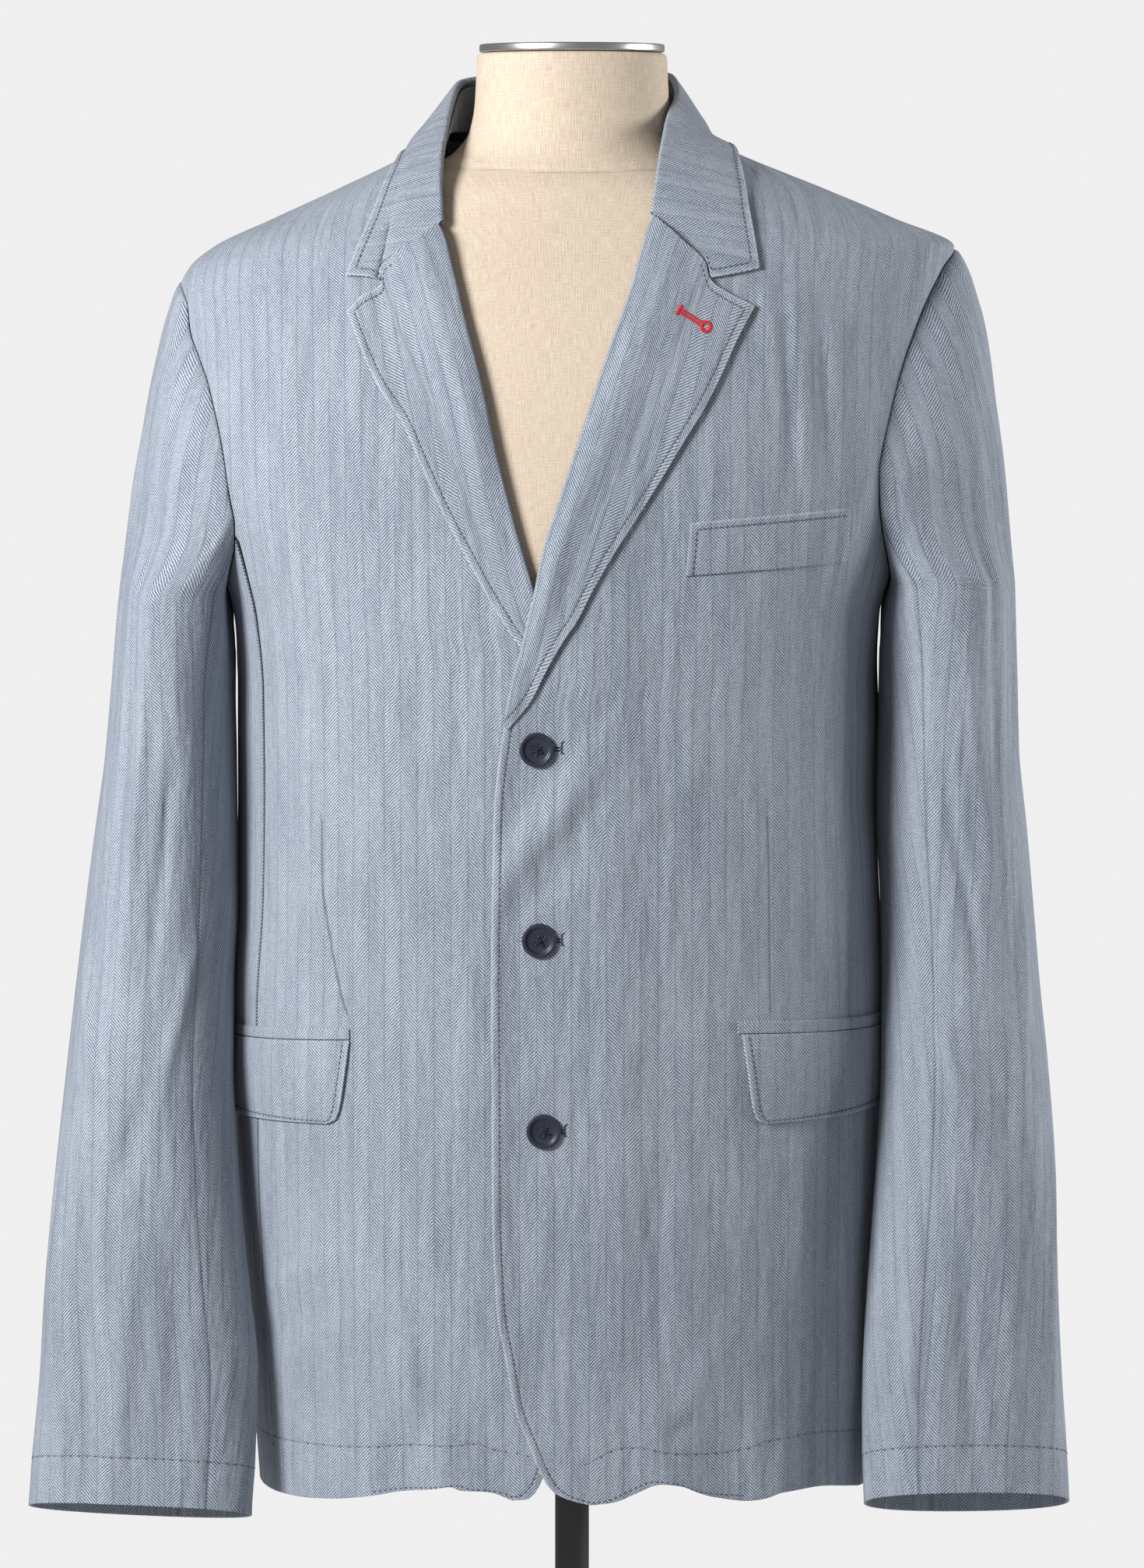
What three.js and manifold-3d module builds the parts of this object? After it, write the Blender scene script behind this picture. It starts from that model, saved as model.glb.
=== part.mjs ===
import * as THREE from 'three';
import { mergeVertices } from 'three/addons/utils/BufferGeometryUtils.js';
import Module from 'manifold-3d';

// Blazer with a notched collar on a limbless dress form. Millimetres, +Z up, the front faces -Y.
// "left" and "right" in the names are the wearer's: the wearer's left is on +X.

const WALL = 1.8;
const SEAM = 0.4;
const LAYER = 1.0;
const ARM_GAP = 1.8;
const NECK_POINT = 1077;
const NAPE = 1072;
const FRONT_SEAM = 68;
const BACK_SEAM = 110;
const BUTTON_R = 10;
const CAP_R = 53.7;
const POLE_R = 10;
const BASE_R = 170;
const BASE_H = 18;
const FORM_BOTTOM = 330;
const FORM_TOP = 1125;

const rad = (degrees) => degrees * Math.PI / 180;

// Monotone cubic through rows of [t, a, b, ...], t rising or falling.
function curve(rows) {
  const data = rows[0][0] > rows[rows.length - 1][0] ? [...rows].reverse() : rows;
  const last = data.length - 1;
  const width = data[0].length;
  const slope = (k, c) => (data[k + 1][c] - data[k][c]) / (data[k + 1][0] - data[k][0]);
  const tangent = (k, c) => {
    if (k === 0) return slope(0, c);
    if (k === last) return slope(last - 1, c);
    const before = slope(k - 1, c);
    const after = slope(k, c);
    return before * after <= 0 ? 0 : 2 * before * after / (before + after);
  };
  return (value) => {
    const t = Math.min(Math.max(value, data[0][0]), data[last][0]);
    let k = 0;
    while (k < last - 1 && t > data[k + 1][0]) k += 1;
    const h = data[k + 1][0] - data[k][0];
    const f = (t - data[k][0]) / h;
    const out = [];
    for (let c = 1; c < width; c += 1) {
      const a = data[k][c] * (2 * f ** 3 - 3 * f ** 2 + 1);
      const b = data[k + 1][c] * (3 * f ** 2 - 2 * f ** 3);
      const d = h * tangent(k, c) * (f ** 3 - 2 * f ** 2 + f);
      out.push(a + b + d + h * tangent(k + 1, c) * (f ** 3 - f ** 2));
    }
    return out;
  };
}

// Evenly timed line through points, each a list of numbers.
function line(points) {
  let total = 0;
  const rows = points.map((point, k) => {
    if (k > 0) total += Math.hypot(...point.map((value, c) => value - points[k - 1][c]));
    return [total, ...point];
  });
  return curve(rows.map((row) => [row[0] / total, ...row.slice(1)]));
}

function ease(value, from, to) {
  const t = Math.min(Math.max((value - from) / (to - from), 0), 1);
  return t * t * (3 - 2 * t);
}

// Rings of the jacket body: height, half width at -X and +X, depth forward and back, roundness.
const bodyRings = curve([
  [285, 183, 178, 138, 124, 2.5],
  [400, 190, 183, 144, 126, 2.5],
  [500, 195, 185, 147, 122, 2.5],
  [570, 195, 185, 146.5, 117, 2.5],
  [640, 190, 182, 146, 113, 2.5],
  [700, 189, 177, 145, 112, 2.5],
  [760, 190, 174, 144, 118, 2.5],
  [800, 196, 178, 142, 122, 2.5],
  [830, 206, 188, 139, 125, 2.5],
  [883, 226, 203, 133, 126, 2.45],
  [926, 228, 208, 127, 122, 2.4],
  [960, 228, 212, 119, 115, 2.35],
  [985, 229, 216, 110, 106, 2.3],
  [1000, 223, 220, 103, 99, 2.3],
  [1013, 208, 222, 97, 93, 2.3],
  [1030, 172, 186, 90, 85, 2.25],
  [1046, 137, 148, 83, 78, 2.2],
  [1067, 93, 96, 73, 68, 2.15],
  [1083, 62, 62, 64, 60, 2.1],
]);

// Rings of the form, under the cloth and up the neck.
const formRings = curve([
  [330, 148, 146, 104, 98, 2.4],
  [400, 160, 157, 114, 106, 2.4],
  [500, 166, 162, 122, 106, 2.4],
  [600, 160, 156, 124, 100, 2.4],
  [700, 168, 160, 130, 104, 2.4],
  [760, 180, 167, 136, 112, 2.45],
  [800, 190, 173, 137, 117, 2.5],
  [830, 201, 183, 134.8, 120.5, 2.5],
  [883, 221, 198, 128.8, 121.5, 2.45],
  [926, 223, 203, 122.8, 117.5, 2.4],
  [960, 223, 207, 114.6, 110.5, 2.35],
  [985, 222, 210, 105.4, 100.5, 2.3],
  [1000, 213, 211, 98, 92.5, 2.3],
  [1013, 194, 209, 91, 86, 2.3],
  [1030, 156, 170, 83, 78.5, 2.25],
  [1046, 119, 128, 75, 71, 2.2],
  [1057, 88, 92, 66, 65, 2.12],
  [1068, 68, 69, 60.5, 61, 2.05],
  [1080, 59.5, 59.5, 57.5, 58, 2],
  [1095, 56.5, 56.5, 55.6, 56, 2],
  [1125, 55, 55, 54.4, 54.4, 2],
]);

function ringPoint(rings, theta, z) {
  const [left, right, front, back, power] = rings(z);
  const s = Math.sin(theta);
  const c = Math.cos(theta);
  const across = s < 0 ? left : right;
  const deep = c > 0 ? front : back;
  const r = (Math.abs(s / across) ** power + Math.abs(c / deep) ** power) ** (-1 / power);
  return new THREE.Vector3(r * s, -r * c, z);
}

// Largest folds of the hanging cloth: start x and z, end x and z, height, half width, side.
const FOLDS = [
  [128, 975, 136, 850, 2.2, 9, 1],
  [150, 960, 152, 840, 1.6, 8, 1],
  [54, 300, 44, 372, 5.0, 14, 1],
  [90, 296, 84, 350, -3.0, 14, 1],
  [-96, 300, -104, 356, -2.5, 14, 1],
  [-68, 300, -76, 362, 3.0, 13, 1],
  [120, 298, 124, 350, 2.0, 13, 1],
  [-70, 720, 60, 690, 1.6, 14, -1],
  [90, 300, 70, 470, 4.0, 18, -1],
  [-84, 300, -60, 430, 4.0, 18, -1],
  [128, 960, 118, 800, 2.6, 13, -1],
  [-140, 950, -124, 790, 2.6, 13, -1],
];

function folds(x, z, facing) {
  let sum = 0;
  for (const [x0, z0, x1, z1, height, half, side] of FOLDS) {
    if (side * facing < 0) continue;
    const length = (x1 - x0) ** 2 + (z1 - z0) ** 2;
    const along = ((x - x0) * (x1 - x0) + (z - z0) * (z1 - z0)) / length;
    const t = Math.min(Math.max(along, 0), 1);
    const gap = Math.hypot(x - x0 - t * (x1 - x0), z - z0 - t * (z1 - z0)) / half;
    const fade = along > 0.5 ? ease(along, 1.15, 0.45) : 1;
    sum += height * fade * Math.exp(-gap * gap);
  }
  return sum * Math.min(1, Math.abs(facing) * 4);
}

// Point of the cloth body at an angle and height, moved out along the surface's normal.
function body(theta, z, lift) {
  const point = ringPoint(bodyRings, theta, z);
  const around = ringPoint(bodyRings, theta + 0.01, z).sub(ringPoint(bodyRings, theta - 0.01, z));
  const up = ringPoint(bodyRings, theta, z + 1).sub(ringPoint(bodyRings, theta, z - 1));
  const normal = around.cross(up).normalize();
  return point.addScaledVector(normal, lift + folds(point.x, z, Math.cos(theta)));
}

// Angle at which the front of the body reaches a given x at a height.
function angleAt(x, z) {
  let low = -Math.PI / 2;
  let high = Math.PI / 2;
  for (let k = 0; k < 26; k += 1) {
    const middle = (low + high) / 2;
    if (ringPoint(bodyRings, middle, z).x < x) low = middle;
    else high = middle;
  }
  return (low + high) / 2;
}

// Closed sheet: two layers of a grid of points joined round the edge, facing out.
function sheet(rows, cols, at, thick = WALL) {
  const points = [];
  for (const lift of [0, -thick]) {
    for (const u of rows) {
      for (const v of cols) {
        const p = at(u, v, lift);
        points.push(p.x, p.y, p.z);
      }
    }
  }
  const n = cols.length;
  const layer = rows.length * n;
  const faces = [];
  const quad = (a, b, c, d) => faces.push(a, b, c, a, c, d);
  for (let i = 0; i < rows.length - 1; i += 1) {
    for (let j = 0; j < n - 1; j += 1) {
      const a = i * n + j;
      quad(a, a + 1, a + n + 1, a + n);
      quad(layer + a, layer + a + n, layer + a + n + 1, layer + a + 1);
    }
  }
  for (let i = 0; i < rows.length - 1; i += 1) {
    const a = i * n;
    const b = a + n - 1;
    quad(a, a + n, layer + a + n, layer + a);
    quad(b + n, b, layer + b, layer + b + n);
  }
  for (let j = 0; j < n - 1; j += 1) {
    const b = (rows.length - 1) * n + j;
    quad(j + 1, j, layer + j, layer + j + 1);
    quad(b, b + 1, layer + b + 1, layer + b);
  }
  return solid(points, faces);
}

function solid(points, faces) {
  const at = (k) => new THREE.Vector3().fromArray(points, 3 * k);
  let volume = 0;
  for (let k = 0; k < faces.length; k += 3) {
    volume += at(faces[k]).dot(at(faces[k + 1]).cross(at(faces[k + 2])));
  }
  const turned = [];
  for (let k = 0; k < faces.length; k += 3) {
    const [a, b, c] = faces.slice(k, k + 3);
    turned.push(a, volume < 0 ? c : b, volume < 0 ? b : c);
  }
  const geometry = new THREE.BufferGeometry();
  geometry.setAttribute('position', new THREE.Float32BufferAttribute(points, 3));
  geometry.setIndex(turned);
  return geometry;
}

const steps = (count) => Array.from({ length: count + 1 }, (_, k) => k / count);

// Patch between four edges in any flat space: bottom and top by v, inner and outer by u.
function patch(bottom, top, inner, outer) {
  const corners = [inner(0), outer(0), inner(1), outer(1)];
  return (u, v) => inner(u).map((value, c) => {
    const across = (1 - v) * value + v * outer(u)[c];
    const upward = (1 - u) * bottom(v)[c] + u * top(v)[c];
    const low = (1 - v) * corners[0][c] + v * corners[1][c];
    const high = (1 - v) * corners[2][c] + v * corners[3][c];
    return across + upward - (1 - u) * low - u * high;
  });
}

// Angle and height lines, from x and height.
const drawn = (points) => points.map(([x, z]) => [angleAt(x, z), z]);

// Armhole of each side: height and angle on the front, then on the back, from shoulder to base.
const ARMHOLES = {
  1: {
    top: 1012.5, base: 818,
    front: curve([[1012.5, 90], [1006, 84], [1000, 81.5], [985, 78.5], [970, 75.4], [954, 72.5],
      [937, 70], [917, 67.7], [900, 66], [885, 65], [868, 65.6], [850, 68], [832, 74], [822, 82],
      [818, 90]]),
    back: curve([[1012.5, 90], [1006, 96], [1000, 98.5], [985, 102], [970, 105], [954, 107.4],
      [937, 109.4], [917, 111], [900, 112], [885, 112.6], [868, 112.2], [850, 110], [832, 105],
      [822, 98], [818, 90]]),
  },
  '-1': {
    top: 994, base: 812,
    front: curve([[994, 90], [988, 83.5], [980, 81], [965, 79.6], [950, 76.3], [938, 73.8],
      [927, 72.2], [910, 70.2], [890, 68.6], [874, 67.8], [860, 67.6], [845, 69], [828, 74],
      [817, 82], [812, 90]]),
    back: curve([[994, 90], [988, 96.5], [980, 99.5], [965, 102.5], [950, 105.5], [938, 107.6],
      [927, 109], [910, 110.8], [890, 112], [874, 112.4], [860, 112], [845, 110], [828, 105],
      [817, 98], [812, 90]]),
  },
};

// Heights of the armhole by rows of a panel, and the side seams below it.
function sideEdge(side, which, seam, hemZ) {
  const hole = ARMHOLES[side];
  const split = which === 'front' ? hole.front : hole.back;
  const joint = side > 0 ? 850 : 845;
  const u0 = (joint - hemZ) / (1045 - hemZ);
  return (u) => {
    if (u <= u0) return [side * rad(seam), hemZ + (joint - hemZ) * u / u0];
    const z = joint + (hole.top - joint) * (u - u0) / (1 - u0);
    return [side * rad(split(z)[0]), z];
  };
}

// Front edge of the wearer's left front, from the hem up to the neck point.
const EDGE_LEFT = [
  [11, 300], [2, 302], [-9.5, 307], [-17, 317], [-24, 334], [-32, 355], [-37, 383], [-42, 413],
  [-44.5, 469], [-44.6, 519], [-45, 596], [-44.3, 653], [-43, 700], [-39.6, 731], [-37.6, 744],
  [-34.4, 758], [-31.2, 773], [-27.4, 786], [-24, 802], [-20.8, 815], [-16, 840],
  [-6.6, 870.5], [3.5, 902], [18.9, 950], [33, 990], [41.5, 1021], [46.5, 1038], [55, 1056],
];

// Front edge of the wearer's right front, which passes under the other.
const EDGE_RIGHT = [
  [-34, 302], [-26.3, 302.5], [-18.6, 310.8], [-12, 334], [-4, 355], [1, 383], [5, 413],
  [8, 469], [8, 519], [8, 596], [8, 653], [7, 690], [4, 715], [-1, 745], [-8, 772],
  [-15.3, 795.4], [-21.5, 816.4], [-32.9, 856.5], [-43, 896.6], [-51.3, 936.7], [-59.8, 970],
  [-66.7, 998.4], [-71.5, 1020.4], [-74.5, 1036], [-78, 1052],
];

const HEM_LEFT = [
  [11, 300], [24, 301.6], [35, 306], [50, 312], [61, 310.4], [73, 305], [82, 302], [101, 299],
  [110, 300], [120, 303], [139, 303.6], [160, 300],
];
const HEM_RIGHT = [
  [-34, 302], [-47, 306.5], [-63, 307.5], [-68, 309.6], [-82, 307], [-99, 304.7], [-115, 301.3],
  [-135, 297.8], [-158, 295.3], [-172, 294.6],
];

// How far the left front stands out where it passes over the right front and its lapel.
function overlap(x, z) {
  const over = (LAYER + WALL + 0.3) * (1 - ease(x, 16, 52)) * (1 - ease(z, 850, 905));
  const lapel = ease(z, 744, 766) * (1 - ease(z, 826, 872)) * (1 - ease(x, 4, 40));
  const pull = Math.abs((z - 684) - 1.05 * (x + 14)) / 14;
  const drag = 2.2 * Math.exp(-pull * pull) * ease(x, -44, -30) * (1 - ease(x, 10, 40));
  return over + (LAYER + WALL) * lapel + drag;
}

function frontGrid(side) {
  const edge = drawn(side > 0 ? EDGE_LEFT : EDGE_RIGHT);
  const neck = [side * rad(90), NECK_POINT];
  const inner = line([...edge, neck].map(([a, z]) => [a * 150, z]));
  const hem = drawn(side > 0 ? HEM_LEFT : HEM_RIGHT);
  const outer = sideEdge(side, 'front', FRONT_SEAM, side > 0 ? 298 : 294.6);
  const bottom = line([...hem, outer(0)].map(([a, z]) => [a * 150, z]));
  const top = (v) => [side * rad(90), NECK_POINT + (ARMHOLES[side].top - NECK_POINT) * v];
  const scaled = (f) => (t) => [f(t)[0] / 150, f(t)[1]];
  return patch(scaled(bottom), top, scaled(inner), outer);
}

function onPanel(grid, side, lowGap, highGap, extra = () => 0) {
  return (u, v, lift) => {
    const [angle, z] = grid(u, v);
    const point = ringPoint(bodyRings, angle, z);
    const r = Math.hypot(point.x, point.y);
    const shift = side * ((1 - v) * lowGap - v * highGap) / r;
    return body(angle + shift, z, lift + extra(point.x, z));
  };
}

const LOWER = [0.13, 0.18, 0.235, 0.29, 0.35, 0.41, 0.47, 0.52, 0.55, 0.573, 0.592, 0.61, 0.63,
  0.66, 0.7];
const UPPER = steps(13).slice(1).map((t) => 0.7 + 0.3 * t);
const FRONT_ROWS = [0, 0.012, 0.03, 0.055, 0.09, ...LOWER, ...UPPER];
const FRONT_COLS = steps(12);

function front(side) {
  const grid = frontGrid(side);
  const seam = SEAM / 2;
  const edge = (u, v) => {
    const [angle, z] = grid(u, v);
    const limit = rad(90) - seam / 70;
    return [side * Math.min(side * angle, limit), z];
  };
  const extra = side > 0 ? overlap : () => 0;
  return sheet(FRONT_ROWS, FRONT_COLS, onPanel(edge, side, 0, seam, extra));
}

function sidePanel(side) {
  const hole = ARMHOLES[side];
  const joint = side > 0 ? 850 : 845;
  const hem = side > 0 ? 298 : 294.6;
  const inner = (u) => [side * rad(FRONT_SEAM), hem + (joint - hem) * u];
  const outer = (u) => [side * rad(BACK_SEAM), hem + 1 + (joint - hem - 1) * u];
  const bottom = (v) => [side * rad(FRONT_SEAM + (BACK_SEAM - FRONT_SEAM) * v), hem + v];
  const half = (t) => {
    const z = hole.base + (joint - hole.base) * (1 - Math.sin(Math.min(t, 1 - t) * Math.PI));
    return [side * rad((t < 0.5 ? hole.front : hole.back)(z)[0]), z];
  };
  const grid = patch(bottom, half, inner, outer);
  const rows = steps(15);
  return sheet(rows, steps(8), onPanel(grid, side, SEAM / 2, SEAM / 2));
}

function backPanel(side) {
  const hole = ARMHOLES[side];
  const inner = (u) => [side * rad(180), 300 + (NAPE - 300) * u];
  const outer = sideEdge(side, 'back', BACK_SEAM, side > 0 ? 299 : 295.6);
  const bottom = (v) => [side * rad(180 - (180 - BACK_SEAM) * v), 300 + (outer(0)[1] - 300) * v];
  const neck = [[180, NAPE], [160, NAPE], [135, NAPE + 1], [110, NECK_POINT - 2], [90, NECK_POINT]];
  const curved = line(neck.map(([a, z]) => [a, z]));
  const top = (v) => {
    const split = 0.36;
    if (v < split) return [side * rad(curved(v / split)[0]), curved(v / split)[1]];
    return [side * rad(90), NECK_POINT + (hole.top - NECK_POINT) * (v - split) / (1 - split)];
  };
  const grid = patch(bottom, top, inner, outer);
  const edge = (u, v) => {
    const [angle, z] = grid(u, v);
    return [side * Math.max(side * angle, rad(90) + SEAM / 140), z];
  };
  const rows = [...steps(9).map((t) => 0.7 * t), ...UPPER];
  return sheet(rows, steps(12), onPanel(edge, side, -SEAM / 2, -SEAM / 2));
}

// Sleeves: height, outer x, inner x, middle y, half depth.
const SLEEVES = {
  1: curve([
    [1012.5, 223.5, 200, 3, 20], [1007, 227, 200, 3, 34], [998, 230.8, 200, 2, 44],
    [985, 234.8, 200, 1, 56], [971, 238.8, 198, 0, 66], [948, 243, 194, 0, 75],
    [926, 246, 190, 0, 80], [903, 249.4, 186, 0, 84], [885, 251.6, 183, -1, 86],
    [858, 254, 181.5, -1, 86], [818, 256, 183, -2, 84], [771, 257.8, 183, -5, 79],
    [722, 260, 184, -11, 73.5], [677, 264.4, 185, -18, 69], [632, 268, 187, -27, 64.5],
    [587, 271.3, 188, -38, 60], [543, 275.3, 187.5, -50, 56], [499, 277.8, 184.5, -60, 52],
    [454, 279.6, 180, -68, 47], [410, 280.6, 175.5, -74, 42], [366, 282.5, 171.5, -79, 36],
    [322, 285.4, 169, -83, 31], [270, 288, 168, -86, 28],
  ]),
  '-1': curve([
    [994, 227.5, 205, 3, 20], [988, 230.5, 205, 3, 32], [980, 233.3, 205, 2, 42],
    [965, 238, 205, 1, 52], [948, 241.8, 204, 0, 64], [926, 246.2, 203, 0, 73],
    [903, 249.8, 201, 0, 80], [885, 252.6, 200, -1, 83], [858, 256.2, 199, -2, 84],
    [812, 261.2, 200, -4, 83], [767, 265.5, 200, -7, 79], [722, 270.8, 199, -12, 74],
    [677, 277, 199, -19, 70], [632, 282.6, 200, -28, 65.5], [587, 287.5, 202, -39, 61],
    [543, 292.1, 202, -50, 57], [499, 296.6, 199, -60, 52.5], [454, 301, 195, -68, 47.5],
    [410, 304.6, 189.5, -74, 42.5], [366, 307, 184.5, -79, 36.5], [322, 311, 184, -83, 31],
    [270, 315, 185, -86, 28],
  ]),
};

// Height at which each line of the sleeve starts, from the crown round to the armpit.
const sleeveTop = curve([
  [0, 0], [14, 0.05], [28, 0.14], [42, 0.26], [58, 0.42], [74, 0.56], [90, 0.67], [110, 0.78],
  [130, 0.87], [152, 0.95], [180, 1],
]);

function sleevePoint(side, phi, z, reach) {
  const [outX, tableX, tableY, tableDepth] = SLEEVES[side](z);
  const hole = ARMHOLES[side];
  const at = Math.min(z, hole.top);
  const fore = body(side * rad(hole.front(at)[0]), at, 0);
  const aft = body(side * rad(hole.back(at)[0]), at, 0);
  const cap = ease(z, hole.base + 4, hole.base + 66);
  const mix = (low, high) => low + (high - low) * cap;
  const inX = mix(tableX, Math.abs(fore.x + aft.x) / 2 + ARM_GAP);
  const midY = mix(tableY, (fore.y + aft.y) / 2);
  const depth = mix(tableDepth, (aft.y - fore.y) / 2);
  const angle = rad(phi);
  const power = 2.25;
  const c = Math.cos(angle);
  const s = Math.sin(angle);
  const r = (Math.abs(c) ** power + Math.abs(s) ** power) ** (-1 / power);
  const open = ease(reach, 90, 180);
  const middle = inX + (outX - inX) / 2 * open;
  const half = c > 0 ? outX - middle : middle - inX;
  return new THREE.Vector3(side * (middle + half * r * c), midY - depth * r * s, z);
}

// Cuffs: middle height, rise toward the front, rise toward the outside.
const CUFFS = { 1: [292, 0.36, 0.01], '-1': [286, 0.28, 0.045] };

// One line down the sleeve at an angle round it: 0 outside, 90 front, 180 at the body.
function sleeveLine(side, around, t) {
  const phi = around > 180 ? around - 360 : around;
  const hole = ARMHOLES[side];
  const turn = Math.abs(phi);
  const deep = hole.top - hole.base;
  const top = hole.top - deep * sleeveTop(turn)[0];
  const reachAt = (z) => {
    let low = 0;
    let high = 180;
    for (let k = 0; k < 22; k += 1) {
      const middle = (low + high) / 2;
      if (hole.top - deep * sleeveTop(middle)[0] > z) low = middle;
      else high = middle;
    }
    return Math.max((low + high) / 2, 0.01);
  };
  const shape = (z) => {
    const reach = reachAt(z);
    const spread = reach < 90 ? 90 / reach : 1;
    return sleevePoint(side, Math.sign(phi) * Math.min(turn * spread, 180), z, reach);
  };
  const theta = rad((phi >= 0 ? hole.front : hole.back)(top)[0]);
  const seat = body(side * theta, top, 0);
  seat.x += side * ARM_GAP;
  seat.z -= 0.6 * ease(turn, 30, 0);
  const [middle, forward, outward] = CUFFS[side];
  const low = shape(middle);
  const bottom = middle - forward * (low.y + 86) + outward * (Math.abs(low.x) - 228);
  const z = bottom + (top - bottom) * t;
  const fix = ease(z, top - Math.min(90, (top - bottom) * 0.3), top);
  return shape(z).add(seat.sub(shape(top)).multiplyScalar(fix));
}

function sleeve(side, from, to, cols) {
  const rows = [...steps(10).map((t) => t * 0.72), 0.77, 0.82, 0.865, 0.905, 0.94, 0.97, 1];
  const at = (u, v, lift) => {
    const phi = from + (to - from) * v;
    const p = sleeveLine(side, phi, u);
    const du = Math.min(u, 0.995);
    const up = sleeveLine(side, phi, du + 0.004).sub(sleeveLine(side, phi, du - 0.004));
    const around = sleeveLine(side, phi + 1, u).sub(sleeveLine(side, phi - 1, u));
    const normal = around.cross(up).normalize().multiplyScalar(-side);
    return p.addScaledVector(normal, lift);
  };
  return sheet(rows, steps(cols), at);
}

// Lapels: break line and outer edge from the bottom up, then the top edge from the break out.
const LAPELS = {
  1: {
    fold: [[-37.6, 744.5], [-34.4, 758], [-31.2, 773], [-27.4, 786], [-24, 802], [-20.8, 815],
      [-16, 840], [-6.6, 870.5], [3.5, 902], [18.9, 950], [33, 990], [41.5, 1021],
      [44.6, 1030.5]],
    edge: [[-33.4, 745], [-29.3, 749.5], [-23.2, 758], [-14, 776], [-3.9, 793.3], [2.2, 802],
      [11.4, 819.6], [22.8, 839.5],
      [36.6, 861], [52.2, 886], [64, 905.5], [73.7, 921], [83.8, 940.6], [91.7, 958],
      [102.7, 978.5]],
    top: [[44.6, 1030.5], [62.2, 1018], [75.2, 1003], [77.8, 993.6], [87.9, 986], [102.7, 978.5]],
  },
  '-1': {
    fold: [[-13, 776], [-15.3, 795.4], [-21.5, 816.4], [-32.9, 856.5], [-43, 896.6],
      [-51.3, 936.7], [-59.8, 970], [-66.7, 998.4], [-71.5, 1020.4], [-72.6, 1024.5]],
    edge: [[-18, 777], [-29.3, 789], [-46.2, 814.7], [-59.6, 839], [-71.5, 861.3], [-83.2, 886.4],
      [-95, 913], [-110.4, 936.6], [-119.8, 958.2], [-126.6, 975.5]],
    top: [[-72.6, 1024.5], [-91, 1012], [-101, 1006], [-108.4, 999.5], [-107.4, 991.8],
      [-120, 982.5], [-126.6, 975.5]],
  },
};

function lapel(side) {
  const { fold, edge, top } = LAPELS[side];
  const foot = line([fold[0], edge[0]]);
  const grid = patch(foot, line(top), line(fold), line(edge));
  const under = side > 0 ? overlap : () => 0;
  return sheet(steps(15), steps(6), (u, v, lift) => {
    const [x, z] = grid(u, v);
    const low = side > 0 ? 0.05 : 0.25;
    const roll = 3.5 * Math.exp(-(((v - 0.24) / 0.2) ** 2)) * ease(u, low, low + 0.3);
    const base = LAYER + WALL + under(x, z) + roll;
    return body(angleAt(x, z), z, base + lift);
  });
}

// Collar: roll line round the neck, outer edge of the fall, and the seam at the neckline.
const ROLL = line([
  [-75.2, -91, 1026], [-76, -74, 1049], [-75, -52, 1065], [-73.5, -26, 1080], [-71, 2, 1095.5],
  [-66, 34, 1108.5], [-42, 61, 1113], [0, 71, 1114.5], [38, 63, 1115], [57.5, 38, 1113],
  [62, 6, 1102.5], [56.5, -30, 1088], [50.6, -60, 1065], [47, -83, 1040], [46.2, -92, 1031.5],
]);
const FALL_EDGE = [
  [-127.5, 996], [-121.5, 1012], [-114, 1029], [-108, 1045], [-102.5, 1058], [-101, 1062],
  [-99, 1058], [-88, 1050], [-60, 1045], [-25, 1043], [25, 1043], [60, 1045], [84, 1052],
  [94, 1062], [96, 1066.5], [98, 1058], [100.5, 1035], [103.7, 1016.5], [105.7, 1000.3],
];
const EDGE_SIDES = [1, 1, 1, 1, 1, 0, -1, -1, -1, -1, -1, -1, -1, -1, 0, 1, 1, 1, 1];
const COLLAR_ENDS = {
  0: [[-75.2, 1026], [-91.6, 1013.4], [-101.8, 1007.4], [-109.5, 1000.6], [-108.6, 994],
    [-117.5, 995.5], [-127.5, 996]],
  1: [[46.2, 1031.5], [63, 1019.2], [76.6, 1003.8], [79.3, 995.4], [94.8, 997.8],
    [105.7, 1000.3]],
};

// Point of the body at x and z, on its front (1), its shoulder line (0) or its back (-1).
function bodyAt(x, z, facing, lift) {
  if (facing === 0) return body(Math.sign(x) * rad(90), z, lift);
  const mirror = (angle) => (facing > 0 ? angle : Math.PI - angle);
  let low = -Math.PI / 2;
  let high = Math.PI / 2;
  for (let k = 0; k < 26; k += 1) {
    const middle = (low + high) / 2;
    if (ringPoint(bodyRings, mirror(middle), z).x < x) low = middle;
    else high = middle;
  }
  return body(mirror((low + high) / 2), z, lift);
}

const rest = LAYER + 1.2;
const fallEdge = line(FALL_EDGE.map(([x, z], k) => {
  const seat = k < 4 || k > 15 ? LAYER : rest;
  return bodyAt(x, z, EDGE_SIDES[k], seat).toArray();
}));
const collarEnd = (which) => line(COLLAR_ENDS[which].map(([x, z]) => {
  return bodyAt(x, z, 1, LAYER).toArray();
}));
const rollEnds = [bodyAt(-75.2, 1026, 1, LAYER + 0.6), bodyAt(46.2, 1031.5, 1, LAYER + 0.6)];

function rollPoint(s) {
  const point = new THREE.Vector3(...ROLL(s));
  const near = s < 0.5 ? rollEnds[0] : rollEnds[1];
  const far = new THREE.Vector3(...ROLL(s < 0.5 ? 0 : 1));
  const fade = ease(Math.min(s, 1 - s), 0.1, 0);
  return point.add(near.clone().sub(far).multiplyScalar(fade));
}

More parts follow.
